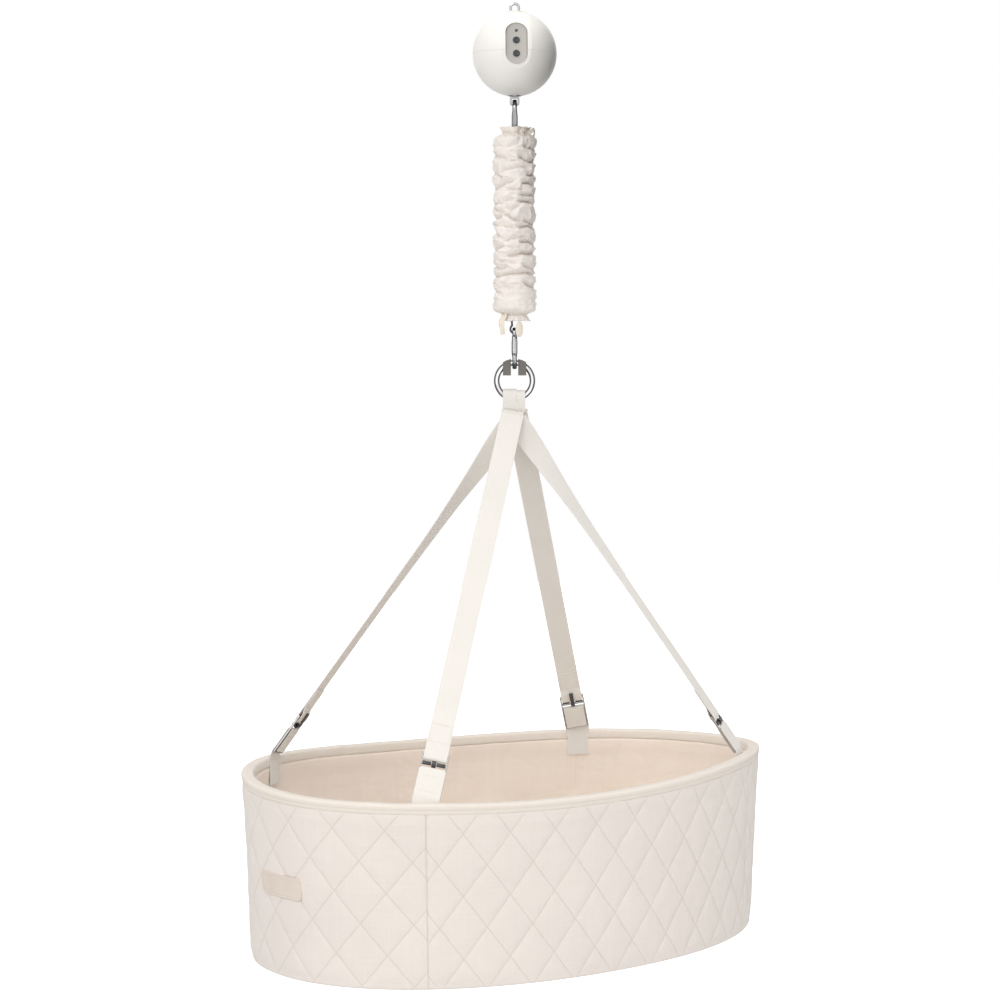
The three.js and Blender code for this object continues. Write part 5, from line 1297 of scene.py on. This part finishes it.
def make_lining():
    """The inner cloth: down the wall, round the foot and over the base, then its plain back."""
    turns, at = ring_turns(4.2)
    seam = 0.0
    for corner in length_at(SEAMS):
        away = (at - corner + RIM_TOTAL / 2) % RIM_TOTAL - RIM_TOTAL / 2
        seam = seam + np.exp(-(away / 2.6) ** 2)
    heights = [252.5, 246.0, 243.4, 242.4, 241.4, 239.0, *np.linspace(236.0, 22.0, 60)]
    rows = []
    for h in heights:
        depth = WALL_TOTAL - 0.2 + lining_depth(at, h) - 1.1 * seam * smoothstep((252 - h) / 10)
        swell = 2.8 * smoothstep((h - 212) / 26) * (1 - smoothstep((h - 241.6) / 1.4))
        rows.append(wall(turns, h, 12.5 if h > 243 else np.maximum(depth, 11.6) + swell))
    floor, under, radius = 10.0, 8.4, 12.0
    above = rows[-1][:, 2] - (BASKET_BOTTOM + heights[-1])
    for a in np.linspace(0, PI / 2, 8)[1:]:
        share = 1 - math.sin(a)
        row = flat_ring(turns, floor + radius * share, WALL_TOTAL + radius * (1 - math.cos(a)))
        row[:, 2] += above * share
        rows.append(row)
    rows += [flat_ring(turns, floor, WALL_TOTAL + radius, shrink)
             for shrink in (0.94, 0.84, 0.7, 0.52, 0.34, 0.16, 0.01)]
    rows += [flat_ring(turns, under, LINING_BACK, shrink) for shrink in (0.01, 0.5, 1.0)]
    rows += [wall(turns, h, LINING_BACK) for h in heights[::-1]]
    obj = piece("lining_cloth", grid(rows, True, True), lining_cotton, "basket", ["lining"], 0)
    for index, corner in enumerate(SEAMS):
        parts = []
        for shift in (-2.6, 2.6):
            turn = turn_at((length_at(corner) + shift) % RIM_TOTAL)
            line = wall(turn, np.linspace(241, 26, 60), WALL_TOTAL - 0.35)
            parts.append(stitches(line, -plan_out(turn), *CLOTH_SEWING))
        piece("lining_seam_stitching_%d" % (index + 1), parts, beige_thread, "basket", ())
    return obj


def make_base():
    """The cloth under the basket, with its sewn edge."""
    turns, _ = ring_turns(7.0)
    low, high = [], []
    for shrink in (1.0, 0.97, 0.9, 0.8, 0.65, 0.5, 0.35, 0.2, 0.01):
        p = flat_ring(turns, 0.25, 5.0, shrink)
        p[:, 2] += np.abs(0.35 * wander(p[:, 0] / 60, p[:, 1] / 60, 0, 121)) * (1 - shrink ** 8)
        low.append(p)
        high.append(flat_ring(turns, 2.0, 5.0, shrink))
    obj = piece("base_cloth", grid(low + high[::-1], True, True), base_cotton, "basket", ["base_fabric"],
                50)
    line = stitches(flat_ring(once_round(turns), 0.15, 9.5), (0, 0, -1), *CLOTH_SEWING, 0.0)
    piece("base_stitching", line, beige_thread, "basket", ())
    return obj


def make_mattress():
    """A boxed mattress with a soft crown, drawn in at its piped edges."""
    turns, at = ring_turns(5.0)
    depth, low, high = 15.9, 10.4, 40.8
    shrinks = (0.01, 0.12, 0.26, 0.4, 0.54, 0.66, 0.76, 0.84, 0.9, 0.94, 0.97)
    rows = [flat_ring(turns, low, depth + 5, shrink) for shrink in shrinks]
    for share in np.linspace(0, 1, 12):
        swell = 4.6 * math.sin(PI * (0.06 + 0.88 * share)) ** 0.6
        crumple = 0.7 * wander(at / 26, share * 2, 0, 131) * math.sin(PI * share)
        height = low + 1.5 + (high - low - 2.5) * share
        rows.append(flat_ring(turns, height, depth + 5.0 - swell - crumple))
    wave = 0.8 * np.sin(at * 2 * PI / 38 + 2 * wander(at / 60, 0, 0, 141))
    for shrink in shrinks[::-1]:
        p = flat_ring(turns, high, depth + 5, shrink)
        x, y = p[:, 0], p[:, 1]
        crease = 0.7 * wander(x / 55, y / 55, 0, 137) + 0.3 * wander(x / 20, y / 20, 0, 139)
        tuck = wave * math.exp((shrink - 1) / 0.07)
        p[:, 2] += 11.0 * (1 - shrink ** 3.2) + (crease + tuck) * min(1.0, (1 - shrink) * 18)
        rows.append(p)
    obj = piece("mattress_pad", grid(rows, False, True, True), mattress_cotton, "mattress", ["mattress"],
                0)
    parts = [tube(flat_ring(turns, h, depth + 3.6), 1.5, 8, (0, 0, 1), True) for h in (low + 1.6, high - 0.2)]
    piece("mattress_piping", parts, binding_cotton, "mattress", (), 0)


def make_patch():
    """A blank leather patch with round corners and a sewn border."""
    start, end = length_at([3.075, 3.36])
    across, up, middle = (end - start) / 2, 16.0, 128.0
    outline = round_section(1.0, 1.0, 112, 0.24)

    def ring(inset, lift):
        """The patch's outline, drawn in and lifted off the wall."""
        inset = min(inset, across - 0.3)
        lower = min(inset, 4.0) + max(inset - 4.0, 0.0) * (up - 4.2) / (across - 4.2)
        u = (start + end) / 2 + outline[:, 0] * (across - inset)
        v = middle + outline[:, 1] * (up - lower)
        return wall(turn_at(u), v, -lift - 0.3 * wander(u / 30, v / 30, 0, 151))

    profile = ((99.0, 0.3), (10.0, 0.3), (0.4, 0.5), (0.0, 1.0), (0.0, 1.6), (0.4, 2.1), (1.2, 2.35),
               (2.2, 2.3), (3.0, 2.0), (3.8, 2.3), (5.0, 2.4), (8.0, 2.5), (16.0, 2.5), (99.0, 2.5))
    part = grid([ring(inset, lift) for inset, lift in profile], False, True, True)
    piece("label_leather", part, patch_leather, "basket", ["label_patch"], 0)
    line = ring(3.0, 2.1)
    line = stitches(np.concatenate([line, line[:1]]), plan_out(3.2), *PATCH_SEWING)
    piece("label_stitching", line, white_thread, "basket", ())


# Straps and buckles
FIT_GAP = 0.3
BINDING_WALL = 1.2
TAB_CURVE_ROOM = 0.6
TAB_DEPTH = WALL_TOTAL + FIT_GAP + BINDING_WALL + FIT_GAP + TAB_CURVE_ROOM + WEBBING_THICKNESS / 2
BUCKLE_LIFT = 8.0
BUCKLE_THICKNESS = 3.0
TAB_BAR_AT = 36.0
TAB_BAR = 3.5
PIVOT_AT = 48.4
TOP_BAR_AT = 60.0
STRAP_START_DROP = 12.0
RIBBON_STAND = BUCKLE_THICKNESS / 2 + FIT_GAP + WEBBING_THICKNESS / 2
SEWN_STAND = 1.75
THREAD_LIFT = 0.8
STACK = 3.7
# Each corner's turn, its strap's start in the stack under the ring, and how low that start is
CORNERS = {
    "left": (PI - SEAM_TURN, (-2.0, STACK / 2), 1.0),
    "front": (PI + SEAM_TURN, (-3.0, -1.5 * STACK), 0.23),
    "right": (-SEAM_TURN, (2.0, -STACK / 2), 1.0),
    "rear": (SEAM_TURN, (3.0, 1.5 * STACK), 0.23),
}


class Corner:
    """One corner's strap line: up along it, across it, and out of its face."""

    def __init__(self, name):
        self.name = name
        self.turn, self.top, drop_share = CORNERS[name]
        self.out = plan_out(self.turn)
        self.tangent = np.array([-self.out[1], self.out[0], 0.0])
        self.root = wall(self.turn, BASKET_HEIGHT, TAB_DEPTH)
        self.start = turned([*self.top, STRAP_TOP - drop_share * STRAP_START_DROP])
        self.up = unit(self.start - self.root)
        self.across = unit(self.tangent - self.up * self.tangent.dot(self.up))
        self.face = np.cross(self.across, self.up)
        if self.face.dot(self.out) < 0:
            self.tangent, self.across, self.face = -self.tangent, -self.across, -self.face

    def beside(self, along, outwards):
        return self.root + self.up * (BUCKLE_LIFT + along) + self.face * outwards

    def folded(self, places, across, out, fold_at, over, tail):
        """Adds the fold round a bar, and the tail beyond it as lengths and distances out."""
        angles = np.linspace(0, PI, 18)[1:-1]
        bend = [self.beside(fold_at + over * RIBBON_STAND * math.sin(a), RIBBON_STAND * math.cos(a))
                for a in angles]
        bend_outs = [self.face * math.cos(a) + self.up * over * math.sin(a) for a in angles]
        ends = [self.beside(along, stand) for along, stand in tail]
        return (np.concatenate([places, bend, ends]),
                np.concatenate([across, [self.across] * (len(bend) + len(ends))]),
                np.concatenate([out, bend_outs, [-self.face] * len(ends)]))


def sewn(low, high, across, normal, box=True):
    """Rows of stitches across two places and, for a box, along both sides between them."""
    ends = [(place - across, place + across) for place in (low, high)]
    if box:
        ends += [(low + side, high + side) for side in (-across, across)]
    return [stitches(pair, normal, *STRAP_SEWING) for pair in ends]


def make_strap(corner):
    """A strap from under the ring to its buckle, turned soon after its start and folded back."""
    up, across, face = corner.up, corner.across, corner.face
    gear = turned([1.0, 0.0, 0.0])
    level = unit(gear - up * gear.dot(up))
    level = level * np.sign(level.dot(across))
    sense = np.sign(np.cross(level, across).dot(up))
    twist = sense * math.acos(max(-1, min(1, level.dot(across))))
    fold_at = TOP_BAR_AT - FIT_GAP
    end = corner.beside(fold_at, RIBBON_STAND)
    steps, straight = 110, 0.035
    share = ((np.arange(steps + 1) / steps) ** 1.5)[:, None]
    begun = np.maximum(0.0, (share - straight) / (1 - straight))
    angle = twist * (1 - (1 - begun) ** 6)
    acrosses = level * np.cos(angle) + np.cross(up, level) * np.sin(angle)
    outs = np.cross(acrosses, up)
    outs = outs * np.sign(outs[-2].dot(face))
    outs[-1] = face
    places = corner.start + (end - corner.start) * share
    if corner.name in ("front", "rear"):
        rise = np.linspace(5.5, 1.5, 5)
        lead = np.stack([corner.top[0] * (1 - 0.3 * rise / STRAP_START_DROP),
                         np.sign(corner.top[1]) * (5.55 + 1.9 * smoothstep(rise / 9)),
                         STRAP_TOP - 2.76 + rise], -1)
        places = np.concatenate([turned(lead), places])
        acrosses, outs = (np.concatenate([v[:1]] * len(rise) + [v]) for v in (acrosses, outs))
    tail = [(fold_at + past, -RIBBON_STAND + (2 * RIBBON_STAND - SEWN_STAND) * smoothstep((past - 6) / 13))
            for past in np.linspace(0.0, 50.0, 26)]
    places, acrosses, outs = corner.folded(places, acrosses, outs, fold_at, -2.1, tail)
    length = distances(places)
    soft = smoothstep((length - 30) / 60) * smoothstep((length[steps] - 40 - length) / 60)
    places = places + outs * (0.5 * wander(length / 70, 0.4, corner.turn, 161) * soft)[:, None]
    part = sweep(places, acrosses, outs, webbing_section(WEBBING_WIDTH))
    piece("strap_webbing_" + corner.name, part, strap_webbing, "basket", ["strap_" + corner.name])
    runs, top = [], RIBBON_STAND + THREAD_LIFT
    for lift, normal in ((top, face), (top - SEWN_STAND - 2 * THREAD_LIFT, -face)):
        low, high = corner.beside(fold_at + 20, lift), corner.beside(fold_at + 46, lift)
        runs += sewn(low, high, across * (WEBBING_WIDTH / 2 - 2.2), normal)
    piece("strap_stitching_" + corner.name, runs, white_thread, "basket", ())


def make_tab(corner):
    """The webbing tab that holds a buckle, sewn to the inside of the wall."""
    fold_at = TAB_BAR_AT + TAB_BAR + FIT_GAP
    knots = [wall(corner.turn, BASKET_HEIGHT - drop, TAB_DEPTH) for drop in (38.0, 26.0, 12.0, 3.0)]
    knots += [corner.beside(along, RIBBON_STAND) for along in (-0.3, 8.0, 22.0, fold_at)]
    path = curve_through(knots, 60)
    blend = smoothstep(np.interp(np.linspace(0, 7, 60), range(8), (0, 0, 0, 0.15, 1, 1, 1, 1)))[:, None]
    across = unit(corner.tangent * (1 - blend) + corner.across * blend)
    out = unit(np.cross(across, unit(np.gradient(path, axis=0))))
    out = out * np.sign(out[-1].dot(corner.face))
    tail = [(along, -RIBBON_STAND) for along in np.linspace(fold_at, 3.0, 10)]
    places, across, out = corner.folded(path, across, out, fold_at, 1, tail)
    count = len(places)
    wide = np.interp(np.arange(count), [0, 22, 30, 58, 62, count], [1, 1, 1.14, 1.14, 0.985, 0.985])
    part = sweep(places, across, out, webbing_section(WEBBING_WIDTH), np.stack([wide, np.ones(count)], -1))
    piece("rim_tab_webbing_" + corner.name, part, strap_webbing, "basket", ["rim_tab_" + corner.name])
    half = WEBBING_WIDTH / 2 - 2.4
    low, high = (wall(corner.turn, BASKET_HEIGHT - drop, TAB_DEPTH + 0.85) for drop in (34.5, 17.0))
    runs = sewn(low, high, corner.tangent * half, -corner.out)
    for side in (1, -1):
        low, high = (corner.beside(along, side * (RIBBON_STAND + THREAD_LIFT)) for along in (8.0, 30.0))
        runs += sewn(low, high, corner.across * half, side * corner.face, False)
    piece("rim_tab_stitching_" + corner.name, runs, white_thread, "basket", ())


def make_bar_sleeves(corner):
    """Two flattened sleeves on a buckle's pivot bar, one on each side of the prong."""
    parts = []
    for side in (-1, 1):
        path = [corner.beside(PIVOT_AT, 0.9) + corner.across * side * x for x in (4.0, 4.5, 15.3, 15.8)]
        parts.append(sweep(path, [corner.up] * 4, [corner.face] * 4, round_section(2.7, 1.9, 24, 0.8),
                           [0.86, 1.0, 1.0, 0.86]))
    piece("bar_sleeves_" + corner.name, parts, bar_steel, "basket", ())


# The whole cradle
make_top_eye()
make_ball()
make_panel()
make_hook("upper", UPPER_HOOK_TOP)
make_hook("lower", LOWER_HOOK_TOP, True)
make_spring()
sleeve = make_sleeve()
ties = (make_bow(), make_drawstring(), make_pull_tab())
make_ring()
make_ring_loop("left", 20.0, -7.0)
make_ring_loop("right", 12.0, 9.3)
for side in STRETCHES:
    make_quilt(side)
make_binding()
make_foam()
lining = make_lining()
base = make_base()
make_mattress()
make_patch()
corners = [Corner(name) for name in CORNERS]
for corner in corners:
    make_strap(corner)
    make_tab(corner)

for name, material, bevel in (
    ("lift_rod", rod_steel, 0.5),
    ("guide_bush", eye_steel, 0.4),
    ("chassis", buckle_steel, 0.4),
    ("gearbox", case_plastic, 0.8),
    ("motor", rod_steel, 0.5),
    ("pinion", brass, 0.15),
    ("circuit_board", board_laminate, 0.2),
    ("base_board", board_wood, 0.6),
):
    clean_cad(name, material, bevel)
clean_cad("battery_pack", case_plastic, 1.2, 3)
for side in ("left", "right"):
    clean_cad("ring_keeper_" + side, keeper_nylon, 0.5, 3)
for corner in corners:
    clean_cad("buckle_" + corner.name, buckle_steel, 0.6, 3)
    clean_cad("prong_" + corner.name, bar_steel, 0.4, 3)
    make_bar_sleeves(corner)


# Studio, in metres
AWAY = (0.6035, 0.7974, 0.0)


def staged(name, points, faces, material, seen=True):
    mesh = bpy.data.meshes.new(name)
    mesh.from_pydata(points, [], faces)
    mesh.materials.append(material)
    obj = placed(name, mesh)
    obj.visible_camera = seen


def make_floor():
    """A white floor with a glow that only the camera sees, stronger towards the back."""
    g = Surface("studio_floor", 0.9, Emission_Color=(1.0, 1.0, 1.0, 1.0))
    seen = g.node("ShaderNodeLightPath", 0)
    glow = g.ramp(g.toward(g.place, AWAY), 0.7, 1.6, 0.3, 0.85)
    g.put(g.sockets["Emission Strength"], g.mul(seen, glow))
    material = g.finish(g.tinted((0.84, 0.84, 0.84), g.add(0.99, g.mul(g.noise(g.place, 3.0), 0.02))))
    size, z, cells = 9.0, -1.9, 36
    ticks = np.linspace(-size, size, cells + 1)
    points = [(x, y, z) for y in ticks for x in ticks]
    first = [row * (cells + 1) + column for row in range(cells) for column in range(cells)]
    staged("floor", points, [(k, k + 1, k + cells + 2, k + cells + 1) for k in first], material)


def make_world():
    """Sky light, weaker from the right and the far side, but white to the eye and in gloss."""
    world = bpy.data.worlds.new("studio")
    bpy.context.scene.world = world
    world.use_nodes = True
    g = Graph(world.node_tree)
    view = g.node("ShaderNodeTexCoord", 0)
    soft_side = g.ramp(g.toward(view, tuple(unit((-1.02, -0.05, 0.35)))), -0.75, 0.85)
    near_side = g.ramp(g.toward(view, tuple(unit((-0.6035, -0.7974, 0.1)))), -0.55, 0.25)
    sides = g.add(0.28, g.mul(near_side, g.add(0.46, g.mul(soft_side, 0.36))))
    camera_ray, glossy_ray, clear_ray = (g.node("ShaderNodeLightPath", k) for k in (0, 3, 6))
    seen = g.math("MINIMUM", g.add(camera_ray, g.add(glossy_ray, clear_ray)), 1.0)
    strength = g.math("MAXIMUM", sides, seen)
    sky = g.node("ShaderNodeBackground", 0, {0: (1.0, 1.0, 1.0, 1.0), 1: strength})
    g.node("ShaderNodeOutputWorld", None, {0: sky})


def make_card(name, where, facing, width, height):
    """A dark card beside the ball, unseen by the camera, that keeps the light off its right."""
    g = Surface(name, 0.9)
    dark = g.finish(g.tinted((0.03, 0.03, 0.03), g.add(0.9, g.mul(g.noise(g.place, 9.0), 0.2))))
    side = np.array([-facing[1], facing[0], 0.0]) * width / 2
    up = np.array([0.0, 0.0, height / 2])
    corners = [tuple(where + a * side + b * up) for a, b in ((-1, -1), (1, -1), (1, 1), (-1, 1))]
    staged(name, corners, [(0, 1, 2, 3)], dark, False)


def make_lamp(name, where, look, size, energy):
    light = bpy.data.lights.new(name, "AREA")
    light.shape = "RECTANGLE"
    light.size, light.size_y = size
    light.energy = energy
    obj = placed(name, light)
    obj.location = where
    obj.rotation_euler = (Vector(look) - Vector(where)).to_track_quat("-Z", "Y").to_euler()


make_floor()
make_world()
make_lamp("key", (-2.9, -2.2, 1.9), (0, 0, -0.7), (1.3, 1.3), 26)
make_lamp("fill", (-0.3, -2.55, -1.45), (0, 0, -0.6), (1.4, 0.8), 4)
make_lamp("top", (0.3, -0.2, 2.6), (0, 0, -1.0), (1.6, 1.6), 27)
make_card("flag", (0.115, -0.13, -0.12), (0.7974, -0.6035, 0.0), 0.36, 0.42)

# The camera's focal length in picture widths, and the degrees it looks down
FOCAL_WIDTHS = 2.5864
LOOK_DOWN = 3.57
camera_data = bpy.data.cameras.new("camera")
camera_data.sensor_width = 36.0
camera_data.lens = 36.0 * FOCAL_WIDTHS
camera = placed("camera", camera_data)
camera.location = (-2.2477, -2.9696, -0.4748)
camera.rotation_euler = (math.radians(90 - LOOK_DOWN), 0.0, HANG_TURN)
bpy.context.scene.camera = camera
bpy.context.scene.view_settings.view_transform = "Standard"
